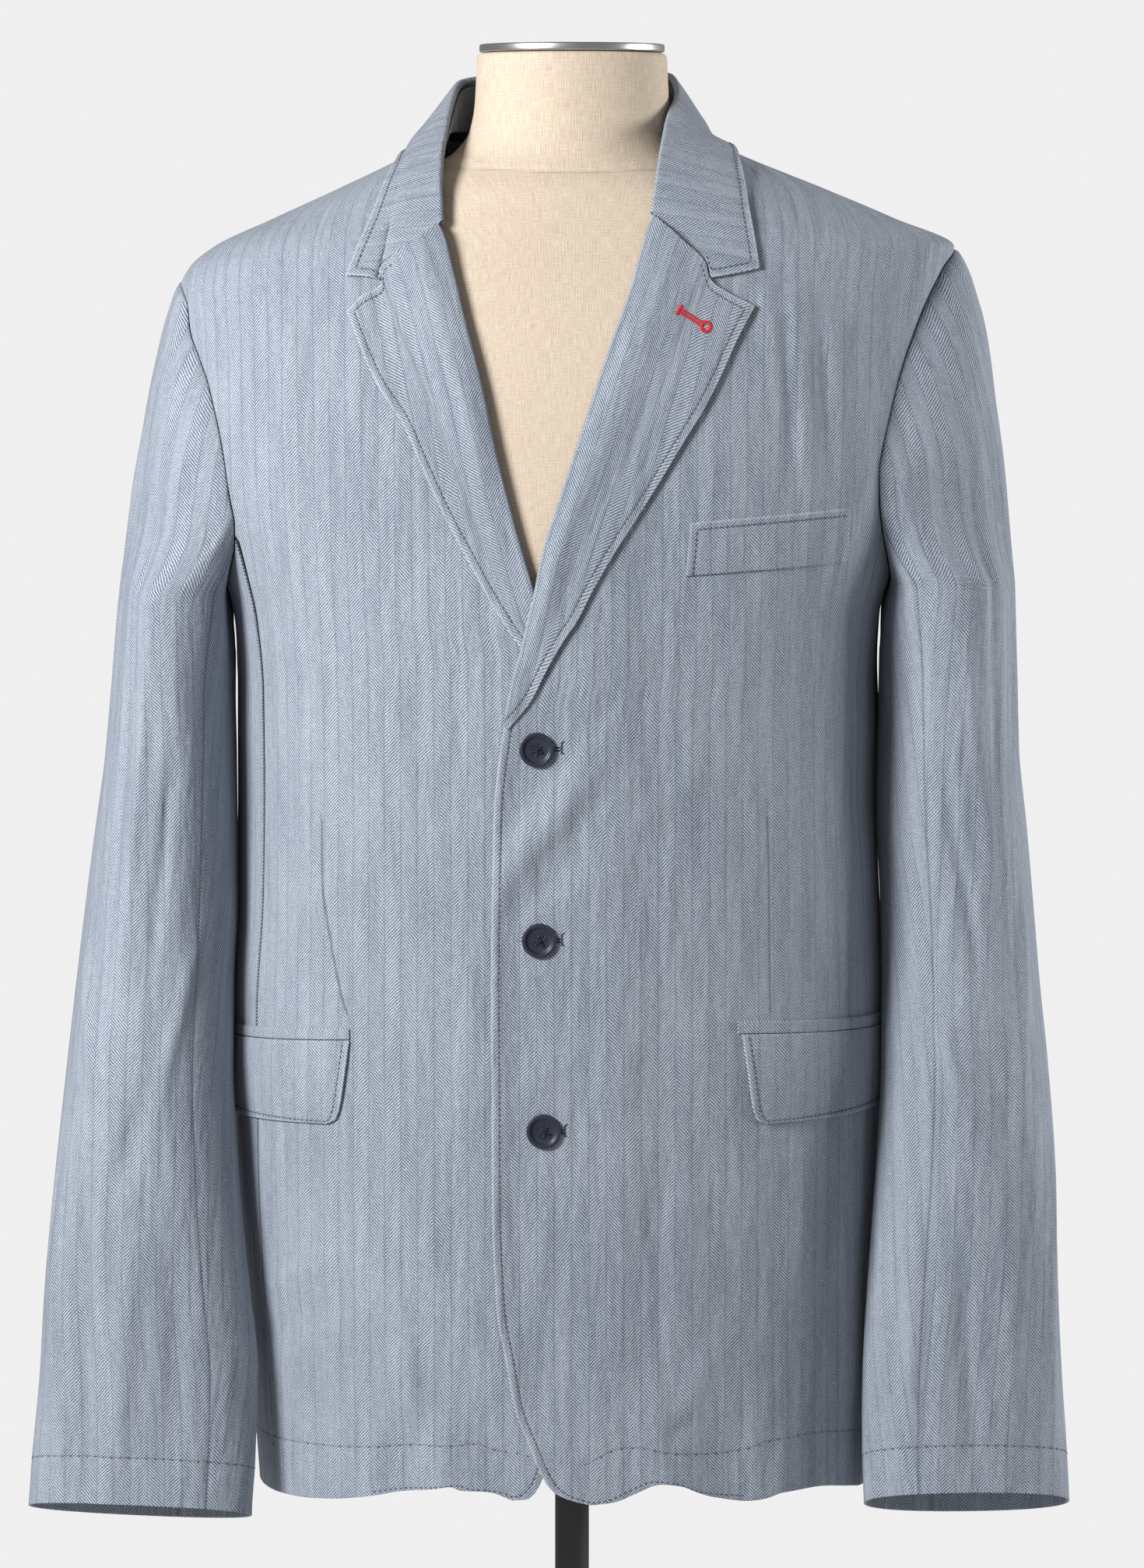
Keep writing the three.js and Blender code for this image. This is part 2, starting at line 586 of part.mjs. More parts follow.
// Pushes a point out until it is a margin clear of the body under it.
function clearOf(point, margin) {
  const p = point.clone();
  const inside = (q) => {
    if (q.z > 1083) return false;
    const [left, right, front, back, power] = bodyRings(q.z);
    const a = q.x < 0 ? left : right;
    const b = q.y < 0 ? front : back;
    return (Math.abs(q.x) / a) ** power + (Math.abs(q.y) / b) ** power < 1;
  };
  for (let k = 0; k < 40; k += 1) {
    const flat = Math.hypot(p.x, p.y);
    const inner = new THREE.Vector3(p.x * (1 - margin / flat), p.y * (1 - margin / flat), p.z);
    const below = new THREE.Vector3(p.x, p.y, p.z - margin);
    if (!inside(inner) && !inside(below)) break;
    p.z += 0.3;
    p.x += 0.15 * p.x / flat;
    p.y += 0.15 * p.y / flat;
  }
  return p;
}

function fallPoint(s, t) {
  const roll = (k) => rollPoint(k).toArray();
  const grid = patch(collarEnd(0), collarEnd(1), roll, fallEdge);
  const across = new THREE.Vector3(...grid(s, t));
  const side = Math.min(s, 1 - s);
  const bulge = 5.5 * ease(side, 0.02, 0.2) * Math.sin(Math.PI * t) ** 0.8;
  const flat = Math.hypot(across.x, across.y);
  across.x += bulge * 0.75 * across.x / flat;
  across.y += bulge * 0.75 * across.y / flat;
  across.z += bulge * 0.66;
  return clearOf(across, LAYER + 1.2 * ease(side, 0.05, 0.2));
}

function onGrid(at, outward) {
  return (u, v, lift) => {
    const u0 = Math.min(Math.max(u, 0.003), 0.997);
    const v0 = Math.min(Math.max(v, 0.02), 0.98);
    const du = at(u0 + 0.003, v).sub(at(u0 - 0.003, v));
    const dv = at(u, v0 + 0.02).sub(at(u, v0 - 0.02));
    const normal = du.cross(dv).normalize().multiplyScalar(outward);
    return at(u, v).addScaledVector(normal, lift);
  };
}

function collarFall() {
  const rows = steps(28);
  return sheet(rows, steps(5), (u, v, lift) => onGrid(fallPoint, 1)(u, v, lift + WALL));
}

// Neckline under the stand, from the wearer's right front round the nape to the left front.
const frontFoot = ([x, z]) => bodyAt(x, z, 1, -0.6).toArray();
const NECKLINE = line([
  frontFoot([-71, 1036]), frontFoot([-75, 1053]), [-76, -37, 1071], [-70.5, 0, 1079.5],
  [-62, 36, 1080], [-40, 55, 1078], [0, 64, 1077], [38, 55, 1078], [60, 34, 1080],
  [69.5, 0, 1079.5], [69.5, -32, 1075], frontFoot([59.5, 1066]), frontFoot([51, 1056]),
  frontFoot([43.5, 1040]),
]);

function standPoint(s, t) {
  const foot = new THREE.Vector3(...NECKLINE(s));
  const head = rollPoint(0.035 + 0.93 * s);
  const flat = Math.hypot(head.x, head.y);
  head.x -= 1.2 * head.x / flat;
  head.y -= 1.2 * head.y / flat;
  head.z -= 1.6;
  return foot.lerp(head, t);
}

function collarStand() {
  return sheet(steps(26), steps(2), onGrid(standPoint, -1));
}

// Pockets, drawn by their corners on the front, and the angle where the sleeve hides their end.
function laid(side, corners, lift, thick, cols, extra) {
  const [bottomIn, bottomOut, topIn, topOut] = corners;
  const grid = patch(line([bottomIn, bottomOut]), line([topIn, topOut]),
    line([bottomIn, topIn]), line([bottomOut, topOut]));
  return sheet(steps(cols[0]), steps(cols[1]), (u, v, deep) => {
    const [angle, z] = grid(u, v);
    const x = ringPoint(bodyRings, angle, z).x;
    return body(angle, z, lift + thick + deep + (extra ? extra(x, z) : 0));
  }, thick);
}

const corner = (x, z) => [angleAt(x, z), z];
const HIP = {
  1: {
    welt: [[93.8, 569], [83, 564], [93.8, 575.5], [83, 570]],
    flap: [[104, 524.4], [83, 519], [96.2, 568], [83, 563]],
  },
  '-1': {
    welt: [[-126.3, 564.3], [-84, 557], [-126.3, 570], [-84, 562.6]],
    flap: [[-133, 520], [-84, 511.5], [-126.2, 563.3], [-84, 556]],
  },
};

function hipPiece(side, name) {
  const rows = HIP[side][name].map(([x, z], k) => {
    return k % 2 === 0 ? corner(x, z) : [side * rad(Math.abs(x)), z];
  });
  const cols = name === 'flap' ? [4, 12] : [1, 12];
  return laid(side, rows, 0.9, name === 'flap' ? 1.6 : 1.4, cols);
}

function chestWelt() {
  const rows = [corner(64.2, 828), corner(157.4, 834.4), corner(67, 857.4), corner(154.2, 864.5)];
  return laid(1, rows, 0.9, 1.6, [3, 9], overlap);
}

const BUTTONS = [[-19.8, 730.6], [-18.4, 622.9], [-15.9, 514.8]];

function lathe(profile, segments) {
  const points = profile.map(([r, y]) => new THREE.Vector2(r, y));
  const geometry = new THREE.LatheGeometry([...points, points[0].clone()], segments);
  geometry.rotateX(Math.PI / 2);
  return geometry;
}

const wasm = await Module();
wasm.setup();

// Closed three.js geometry as a body for cutting.
function cuttable(geometry) {
  const bare = geometry.clone();
  bare.deleteAttribute('normal');
  bare.deleteAttribute('uv');
  const merged = mergeVertices(bare, 1e-4);
  return new wasm.Manifold(new wasm.Mesh({
    numProp: 3,
    vertProperties: merged.attributes.position.array,
    triVerts: new Uint32Array(merged.index.array),
  }));
}

function drilled(blank, holes, radius, depth) {
  let out = cuttable(blank);
  for (const [x, y] of holes) {
    const drill = new THREE.CylinderGeometry(radius, radius, depth, 6);
    drill.rotateX(Math.PI / 2).translate(x, y, 0);
    out = out.subtract(cuttable(drill));
  }
  const mesh = out.getMesh();
  const geometry = new THREE.BufferGeometry();
  geometry.setAttribute('position', new THREE.BufferAttribute(mesh.vertProperties, 3));
  geometry.setIndex([...mesh.triVerts]);
  return geometry;
}

const BUTTON_PROFILE = [
  [0, 0], [BUTTON_R - 1, 0], [BUTTON_R, 1], [BUTTON_R, 2.2], [BUTTON_R - 1, 3.1],
  [BUTTON_R - 2, 3.1], [BUTTON_R - 3, 2], [0, 1.8],
];
const HOLES = [[1.8, 1.8], [-1.8, 1.8], [-1.8, -1.8], [1.8, -1.8]];

function button(index) {
  const [x, z] = BUTTONS[index];
  const geometry = drilled(lathe(BUTTON_PROFILE, 18), HOLES, 0.85, 12);
  const laidOn = (dx, dz) => {
    return body(angleAt(x + dx, z + dz), z + dz, overlap(x + dx, z + dz));
  };
  const corners = [laidOn(8, 0), laidOn(-8, 0), laidOn(0, 8), laidOn(0, -8)];
  const seat = new THREE.Vector3();
  for (const point of corners) seat.addScaledVector(point, 0.25);
  const out = corners[0].sub(corners[1]).cross(corners[2].sub(corners[3])).normalize();
  seat.addScaledVector(out, index === 0 ? 1.35 : 0.9);
  const turn = new THREE.Quaternion().setFromUnitVectors(new THREE.Vector3(0, 0, 1), out);
  geometry.rotateZ(rad([18, -12, 24][index]));
  geometry.applyQuaternion(turn);
  geometry.translate(seat.x, seat.y, seat.z);
  return geometry;
}

function formBody() {
  const heights = [330, 420, 520, 610, 680, 740, 790, 830, 870, 910, 945, 972, 992, 1008, 1022,
    1034, 1045, 1054, 1062, 1070, 1080, 1095, FORM_TOP];
  const around = 36;
  const points = [];
  for (const z of heights) {
    for (let k = 0; k < around; k += 1) {
      const even = 2 * Math.PI * k / around;
      const theta = even - 0.16 * Math.sin(2 * even);
      points.push(...ringPoint(formRings, theta, z).toArray());
    }
  }
  const faces = [];
  for (let i = 0; i < heights.length - 1; i += 1) {
    for (let k = 0; k < around; k += 1) {
      const a = i * around + k;
      const b = i * around + (k + 1) % around;
      faces.push(a, b, b + around, a, b + around, a + around);
    }
  }
  const end = (heights.length - 1) * around;
  const low = points.length / 3;
  points.push(0, 0, FORM_BOTTOM, 0, 0, FORM_TOP);
  for (let k = 0; k < around; k += 1) {
    const next = (k + 1) % around;
    faces.push(low, next, k, low + 1, end + k, end + next);
  }
  return solid(points, faces);
}

function disc(radius, low, high, round, segments) {
  const profile = [[0, low], [radius - round, low], [radius, low + round * 0.6],
    [radius, high - round], [radius - round * 0.3, high - round * 0.3], [radius - round, high],
    [0, high]];
  return lathe(profile, segments);
}

const group = new THREE.Group();
group.name = 'blazer_on_dress_form';

function add(name, geometry, colour, roughness = 0.9, metalness = 0) {
  const material = new THREE.MeshStandardMaterial({ color: colour, roughness, metalness });
  const mesh = new THREE.Mesh(geometry, material);
  mesh.name = name;
  group.add(mesh);
}

const CLOTH = 0x7f8794;
const top = { 1: [-108, 118], '-1': [-108, 126] };
for (const side of [1, -1]) {
  const hand = side > 0 ? 'left' : 'right';
  const [from, to] = top[side];
  add(`front_${hand}`, front(side), CLOTH);
  add(`side_panel_${hand}`, sidePanel(side), CLOTH);
  add(`back_${hand}`, backPanel(side), CLOTH);
  add(`top_sleeve_${hand}`, sleeve(side, from + 0.2, to - 0.2, 14), CLOTH);
  add(`under_sleeve_${hand}`, sleeve(side, to + 0.2, from + 359.8, 7), CLOTH);
  add(`lapel_${hand}`, lapel(side), CLOTH);
  add(`hip_welt_${hand}`, hipPiece(side, 'welt'), CLOTH);
  add(`hip_flap_${hand}`, hipPiece(side, 'flap'), CLOTH);
}
add('collar_fall', collarFall(), CLOTH);
add('collar_stand', collarStand(), CLOTH);
add('chest_welt', chestWelt(), CLOTH);
add('button_top', button(0), 0x2d3241, 0.4);
add('button_middle', button(1), 0x2d3241, 0.4);
add('button_bottom', button(2), 0x2d3241, 0.4);
add('form_body', formBody(), 0xcfc4b2);
add('neck_cap', disc(CAP_R, FORM_TOP + 0.3, 1129.8, 1.2, 32), 0xd0d0d0, 0.2, 1);
add('pole', lathe([[0, BASE_H + 0.3], [POLE_R, BASE_H + 0.3], [POLE_R, FORM_BOTTOM - 0.3],
  [0, FORM_BOTTOM - 0.3]], 24), 0x222222, 0.3);
add('base', disc(BASE_R, 0, BASE_H, 6, 40), 0x222222, 0.4);

export default group;
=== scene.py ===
"""Blazer with a notched collar on a limbless dress form, dressed round its fixed frame.

Sizes in the tables are millimetres, +Z up, the front faces -Y, and the wearer's left is on +X.
"""
import math

import bmesh
import bpy
import numpy as np
from mathutils import Matrix, Vector
from mathutils.bvhtree import BVHTree


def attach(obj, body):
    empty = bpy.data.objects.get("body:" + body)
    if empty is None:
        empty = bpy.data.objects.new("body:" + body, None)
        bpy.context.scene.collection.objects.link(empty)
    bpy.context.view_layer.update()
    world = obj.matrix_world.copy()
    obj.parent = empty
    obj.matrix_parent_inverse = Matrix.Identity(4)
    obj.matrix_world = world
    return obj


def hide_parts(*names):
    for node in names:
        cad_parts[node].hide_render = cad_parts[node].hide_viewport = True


bl_info = {
    "name": "Blazer on a dress form",
    "version": (1, 0, 0),
    "blender": (4, 5, 0),
    "location": "3D View > Sidebar > Blazer",
    "description": "Cloth, sewing, buttons, form and stand of a blazer on a dress form",
    "category": "Add Mesh",
}

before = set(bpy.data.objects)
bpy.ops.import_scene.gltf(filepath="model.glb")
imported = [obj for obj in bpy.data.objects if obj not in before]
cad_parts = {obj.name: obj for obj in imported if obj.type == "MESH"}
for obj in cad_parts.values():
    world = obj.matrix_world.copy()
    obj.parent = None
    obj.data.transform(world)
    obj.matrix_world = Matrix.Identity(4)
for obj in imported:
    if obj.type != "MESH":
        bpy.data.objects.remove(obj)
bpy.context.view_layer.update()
MM = 0.001

WALL = 1.8
SEAM = 0.4
LAYER = 1.0
ARM_GAP = 0.3
FAR = 60.0
CREASE_GAIN = 1.7
HANDS = ((1, "left"), (-1, "right"))
NECK_POINT = 1077
NAPE = 1072
FRONT_SEAM = 68
BACK_SEAM = 110
STITCH_IN = 4.2
HEM_DEEP = 32.5
CUFF_DEEP = 27
FORM_LOW, FORM_SHOULDER, FORM_TOP, FORM_ROUND = 330, 1010, 1121.5, 3.2
NECK_SEAM = 1058


def curve(rows):
    """Monotone cubic through rows of [t, a, b, ...], t rising or falling."""
    data = np.array(rows, float)
    if data[0, 0] > data[-1, 0]:
        data = data[::-1]
    at, values = data[:, 0], data[:, 1:]
    step = np.diff(at)[:, None]
    slope = np.diff(values, axis=0) / step
    before, after = slope[:-1], slope[1:]
    same = before * after > 0
    total = np.where(same, before + after, 1)
    middle = np.where(same, 2 * before * after / total, 0)
    tangent = np.vstack([slope[:1], middle, slope[-1:]])

    def evaluate(t):
        t = np.clip(np.asarray(t, float), at[0], at[-1])
        k = np.clip(np.searchsorted(at, t, side="left") - 1, 0, len(at) - 2)
        h = step[k, 0]
        f = ((t - at[k]) / h)[..., None]
        h = h[..., None]
        ends = values[k] * (2 * f**3 - 3 * f**2 + 1) + values[k + 1] * (3 * f**2 - 2 * f**3)
        return ends + h * (tangent[k] * (f**3 - 2 * f**2 + f) + tangent[k + 1] * (f**3 - f**2))

    return evaluate


def walk(points):
    """Distance walked along a row of points, starting at nought."""
    return np.concatenate([[0], np.cumsum(np.linalg.norm(np.diff(points, axis=0), axis=1))])


def line(points):
    """Evenly timed curve through points."""
    points = np.array(points, float)
    total = walk(points)
    return curve(np.column_stack([total / total[-1], points]))


def ease(value, start, end):
    t = np.clip((np.asarray(value, float) - start) / (end - start), 0, 1)
    return t * t * (3 - 2 * t)


def bell(value, middle, half):
    """1 at a middle value, falling to nought over about two half widths."""
    return np.exp(-(((value - middle) / half) ** 2))


def unit(vectors):
    return vectors / np.maximum(np.linalg.norm(vectors, axis=-1, keepdims=True), 1e-9)


# Rings of the jacket body: height, half width at -X and +X, depth forward and back, roundness.
body_rings = curve([
    [285, 183, 178, 138, 124, 2.5], [400, 190, 183, 144, 126, 2.5],
    [500, 195, 185, 147, 122, 2.5], [570, 195, 185, 146.5, 117, 2.5],
    [640, 190, 182, 146, 113, 2.5], [700, 189, 177, 145, 112, 2.5],
    [760, 190, 174, 144, 118, 2.5], [800, 196, 178, 142, 122, 2.5],
    [830, 206, 188, 139, 125, 2.5], [883, 226, 203, 133, 126, 2.45],
    [926, 228, 208, 127, 122, 2.4], [960, 228, 212, 119, 115, 2.35],
    [985, 229, 216, 110, 106, 2.3], [1000, 223, 220, 103, 99, 2.3],
    [1013, 208, 222, 97, 93, 2.3], [1030, 172, 186, 90, 85, 2.25],
    [1046, 137, 148, 83, 78, 2.2], [1067, 93, 96, 73, 68, 2.15],
    [1083, 62, 62, 64, 60, 2.1],
])

# Rings of the form, under the cloth and up the neck.
form_rings = curve([
    [330, 148, 146, 104, 98, 2.4], [400, 160, 157, 114, 106, 2.4],
    [500, 166, 162, 122, 106, 2.4], [600, 160, 156, 124, 100, 2.4],
    [700, 168, 160, 130, 104, 2.4], [760, 180, 167, 136, 112, 2.45],
    [800, 190, 173, 137, 117, 2.5], [830, 201, 183, 134.8, 120.5, 2.5],
    [883, 221, 198, 128.8, 121.5, 2.45], [926, 223, 203, 122.8, 117.5, 2.4],
    [960, 223, 207, 114.6, 110.5, 2.35], [985, 222, 210, 105.4, 100.5, 2.3],
    [1000, 213, 211, 98, 92.5, 2.3], [1013, 194, 209, 91, 86, 2.3],
    [1030, 156, 170, 83, 78.5, 2.25], [1046, 119, 128, 75, 71, 2.2],
    [1057, 88, 92, 66, 65, 2.12], [1068, 68, 69, 60.5, 61, 2.05],
    [1080, 59.5, 59.5, 57.5, 58, 2], [1095, 56.5, 56.5, 55.6, 56, 2],
    [1125, 55, 55, 54.4, 54.4, 2],
])


def ring_point(rings, theta, z):
    theta, z = np.broadcast_arrays(np.asarray(theta, float), np.asarray(z, float))
    left, right, front, back, power = np.moveaxis(rings(z), -1, 0)
    s, c = np.sin(theta), np.cos(theta)
    across = np.where(s < 0, left, right)
    deep = np.where(c > 0, front, back)
    r = (np.abs(s / across) ** power + np.abs(c / deep) ** power) ** (-1 / power)
    return np.stack([r * s, -r * c, z], -1)


# Folds and creases of the cloth: start x and z, end x and z, height, half width, side.
FOLDS = [
    [128, 980, 136, 846, 3.4, 8, 1],
    [150, 964, 152, 838, 2.6, 7.5, 1],
    [54, 300, 44, 372, 5.0, 14, 1],
    [90, 296, 84, 350, -3.0, 14, 1],
    [-96, 300, -104, 356, -2.5, 14, 1],
    [-68, 300, -76, 362, 3.0, 13, 1],
    [120, 298, 124, 350, 2.0, 13, 1],
    [-70, 720, 60, 690, 1.6, 14, -1],
    [90, 300, 70, 470, 4.0, 18, -1],
    [-84, 300, -60, 430, 4.0, 18, -1],
    [128, 960, 118, 800, 2.6, 13, -1],
    [-140, 950, -124, 790, 2.6, 13, -1],
]
CREASES = [
    [112, 985, 118, 900, 1.1, 5, 1],
    [122, 968, 127, 862, -1.0, 5, 1],
    [143, 950, 146, 880, -0.9, 5, 1],
    [165, 938, 163, 860, 0.8, 6, 1],
    [66, 352, 78, 392, 1.3, 7, 1],
    [58, 340, 70, 356, -1.2, 5, 1],
    [104, 330, 112, 372, 0.9, 7, 1],
    [-92, 356, -100, 392, 1.2, 7, 1],
    [-112, 318, -106, 360, 0.9, 6, 1],
    [-148, 318, -142, 380, -0.9, 8, 1],
    [-165, 420, -128, 446, 0.9, 8, 1],
    [-168, 392, -120, 418, -0.8, 9, 1],
    [-150, 640, -100, 668, 0.6, 9, 1],
    [-158, 786, -116, 760, 0.8, 9, 1],
    [-60, 600, -52, 470, 0.7, 10, 1],
    [28, 560, 34, 430, 0.8, 10, 1],
    [60, 470, 66, 372, 0.8, 9, 1],
    [134, 500, 128, 410, 0.9, 9, 1],
    [40, 690, 84, 726, 0.6, 9, 1],
    [96, 812, 92, 742, 0.6, 8, 1],
    [-118, 985, -126, 900, 0.8, 8, 1],
    [-160, 960, -166, 880, 0.9, 7, 1],
    [60, 1000, 66, 860, 1.0, 9, -1],
    [-58, 1004, -66, 850, 1.1, 9, -1],
    [20, 1030, -30, 1020, 1.3, 7, -1],
    [110, 745, 30, 722, 1.2, 9, -1],
    [-30, 700, -110, 664, 1.0, 9, -1],
    [84, 662, 130, 640, 0.9, 8, -1],
    [40, 420, 48, 320, 1.4, 10, -1],
    [-130, 420, -122, 316, 1.2, 10, -1],
    [-20, 380, -24, 300, -1.2, 9, -1],
    [140, 380, 132, 300, 1.2, 9, -1],
]


def off_segment(x, z, x0, z0, x1, z1):
    """Share of the way along a segment, and the distance from it."""
    dx, dz = x1 - x0, z1 - z0
    along = ((x - x0) * dx + (z - z0) * dz) / (dx ** 2 + dz ** 2)
    t = np.clip(along, 0, 1)
    return along, np.hypot(x - x0 - t * dx, z - z0 - t * dz)


def folds(x, z, facing, table):
    """Height of the folds at a place, soft at their sides and ends."""
    total = np.zeros(np.broadcast(x, z).shape)
    for *ends, height, half, side in table:
        along, gap = off_segment(x, z, *ends)
        fade = np.where(along > 0.5, ease(along, 1.15, 0.45), 1)
        total += np.where(side * facing < 0, 0, height * fade * bell(gap, 0, half))
    return total * np.minimum(1, np.abs(facing) * 4)


# How the body hangs at its sides: where round it, how wide in degrees, and how far by height.
DRAPE = {
    -1: [(105, 25, curve([[300, 0], [400, 1.5], [500, 3.5], [560, 7.5], [620, 8.8], [700, 8.8],
                          [767, 7], [800, 1.2], [812, 0]]))],
    1: [(108, 20, curve([[300, 0], [640, 0], [700, 6], [749, 9], [790, 5], [815, 0]])),
        (76, 22, curve([[300, 0], [360, -1], [420, -3.5], [560, -3.5], [690, -3], [740, 0]]))],
}


def drape(theta, z):
    turn = np.degrees(np.abs(np.arctan2(np.sin(theta), np.cos(theta))))
    total = np.zeros(turn.shape)
    for side, rows in DRAPE.items():
        for middle, wide, far in rows:
            here = np.where(np.sin(theta) * side > 0, far(z)[..., 0], 0.0)
            total = total + here * bell(turn, middle, wide)
    return total


def body(theta, z, lift):
    """Point of the cloth body at an angle and height, moved out along the surface's normal."""
    theta, z = np.broadcast_arrays(np.asarray(theta, float), np.asarray(z, float))
    point = ring_point(body_rings, theta, z)
    around = ring_point(body_rings, theta + 0.01, z) - ring_point(body_rings, theta - 0.01, z)
    up = ring_point(body_rings, theta, z + 1) - ring_point(body_rings, theta, z - 1)
    normal = unit(np.cross(around, up))
    x, facing = point[..., 0], np.cos(theta)
    raised = (folds(x, z, facing, FOLDS) + folds(x, z, facing, CREASES) * CREASE_GAIN
              + drape(theta, z))
    return point + normal * (lift + raised)[..., None]


def halve(low, high, low_side, count=26):
    """Arrays of where low_side stops being true between low and high."""
    for _ in range(count):
        middle = (low + high) / 2
        under = low_side(middle)
        low, high = np.where(under, middle, low), np.where(under, high, middle)
    return (low + high) / 2


def angle_at(x, z, facing=1):
    """Angle at which the front (1) or back (-1) of the body reaches x at a height."""
    x, z = np.broadcast_arrays(np.asarray(x, float), np.asarray(z, float))
    turned = (lambda a: a) if facing > 0 else (lambda a: math.pi - a)
    ends = np.full(x.shape, math.pi / 2)
    found = halve(-ends, ends, lambda a: ring_point(body_rings, turned(a), z)[..., 0] < x)
    return turned(found)


def patch(bottom, top, inner, outer):
    """Patch between four edges: bottom and top by v, inner and outer by u."""
    corners = [inner(0), outer(0), inner(1), outer(1)]

    def point(u, v):
        u, v = np.broadcast_arrays(np.asarray(u, float), np.asarray(v, float))
        uu, vv = u[..., None], v[..., None]
        across = (1 - vv) * inner(u) + vv * outer(u)
        upward = (1 - uu) * bottom(v) + uu * top(v)
        low = (1 - vv) * corners[0] + vv * corners[1]
        high = (1 - vv) * corners[2] + vv * corners[3]
        return across + upward - (1 - uu) * low - uu * high

    return point


# Armhole of each side: its top and base, and height and angle on the front and on the back.
ARMHOLES = {
    1: {
        "top": 1012.5, "base": 818, "joint": 850,
        "front": curve([
            [1012.5, 90], [1006, 84], [1000, 81.5], [985, 78.5], [970, 75.4], [954, 72.5],
            [937, 70], [917, 67.7], [900, 66], [885, 65], [868, 65.6], [850, 68], [832, 74],
            [822, 82], [818, 90]]),
        "back": curve([
            [1012.5, 90], [1006, 96], [1000, 98.5], [985, 102], [970, 105], [954, 107.4],
            [937, 109.4], [917, 111], [900, 112], [885, 112.6], [868, 112.2], [850, 110],
            [832, 105], [822, 98], [818, 90]]),
    },
    -1: {
        "top": 994, "base": 812, "joint": 845,
        "front": curve([
            [994, 90], [988, 83.5], [980, 81], [965, 79.6], [950, 76.3], [938, 73.8],
            [927, 72.2], [910, 70.2], [890, 68.6], [874, 67.8], [860, 67.6], [845, 69],
            [828, 74], [817, 82], [812, 90]]),
        "back": curve([
            [994, 90], [988, 96.5], [980, 99.5], [965, 102.5], [950, 105.5], [938, 107.6],
            [927, 109], [910, 110.8], [890, 112], [874, 112.4], [860, 112], [845, 110],
            [828, 105], [817, 98], [812, 90]]),
    },
}

# Front edges from the hem up to the neck, and hems from the front edge out, as x and height.
EDGES = {
    1: [
        [11, 300], [2, 302], [-9.5, 307], [-17, 317], [-24, 334], [-32, 355], [-37, 383],
        [-42, 413], [-44.5, 469], [-44.6, 519], [-45, 596], [-44.3, 653], [-43, 700],
        [-39.6, 731], [-37.6, 744], [-34.4, 758], [-31.2, 773], [-27.4, 786], [-24, 802],
        [-20.8, 815], [-16, 840], [-6.6, 870.5], [3.5, 902], [18.9, 950], [33, 990],
        [41.5, 1021], [46.5, 1038], [55, 1056]],
    -1: [
        [-34, 302], [-26.3, 302.5], [-18.6, 310.8], [-12, 334], [-4, 355], [1, 383], [5, 413],
        [8, 469], [8, 519], [8, 596], [8, 653], [7, 690], [4, 715], [-1, 745], [-8, 772],
        [-15.3, 795.4], [-21.5, 816.4], [-32.9, 856.5], [-43, 896.6], [-51.3, 936.7],
        [-59.8, 970], [-66.7, 998.4], [-71.5, 1020.4], [-74.5, 1036], [-78, 1052]],
}
HEMS = {
    1: [
        [11, 300], [24, 301.6], [35, 306], [50, 312], [61, 310.4], [73, 305], [82, 302],
        [101, 299], [110, 300], [120, 303], [139, 303.6], [160, 300]],
    -1: [
        [-34, 302], [-47, 306.5], [-63, 307.5], [-68, 309.6], [-82, 307], [-99, 304.7],
        [-115, 301.3], [-135, 297.8], [-158, 295.3], [-172, 294.6]],
}
HEM_SIDE = {1: 298, -1: 294.6}
ANGLE_SCALE = 150
RIGHT_ANGLE = math.pi / 2


def side_edge(side, which, seam, hem):
    """Side seam of a panel and its armhole above it, by u from the hem up."""
    hole = ARMHOLES[side]
    joint = hole["joint"]
    share = (joint - hem) / (1045 - hem)

    def edge(u):
        u = np.asarray(u, float)
        low = hem + (joint - hem) * u / share
        high = joint + (hole["top"] - joint) * (u - share) / (1 - share)
        z = np.where(u <= share, low, high)
        angle = np.where(u <= share, seam, hole[which](z)[..., 0])
        return np.stack([side * np.radians(angle), z], -1)

    return edge


edge_x = curve([[z, x] for x, z in EDGES[1][4:]])


def overlap(x, z):
    """How far the left front stands out where it passes over the right front and its lapel."""
    def pull(rise, slope, wide, high):
        return high * bell(z - rise - slope * (x + 14), 0, wide)

    over = (LAYER + WALL + 0.3) * (1 - ease(x, 16, 52)) * (1 - ease(z, 850, 905))
    lapel = ease(z, 744, 766) * (1 - ease(z, 826, 872)) * (1 - ease(x, 4, 40))
    drag = (pull(688, 1.15, 15, 4.2) - pull(660, 1.15, 13, 1.3)) * ease(x, -48, -26)
    ridge = 2.5 * bell(x, edge_x(z)[..., 0], 9.5) * ease(z, 345, 400) * (1 - ease(z, 742, 775))
    finer = sum(pull(*row) for row in PULLS) * ease(x, -40, -22) * (1 - ease(x, 20, 46))
    return over + (LAYER + WALL) * lapel + drag * (1 - ease(x, -8, 34)) + ridge + finer


# Pull lines between the buttons: height at the button line, slope, half width, height.
PULLS = [[662, 1.0, 5, 0.7], [704, 1.15, 5, 0.6], [640, 0.5, 6, 0.5], [585, -0.6, 7, 0.5],
         [548, 0.7, 7, 0.5]]


def none(x, z):
    return 0.0


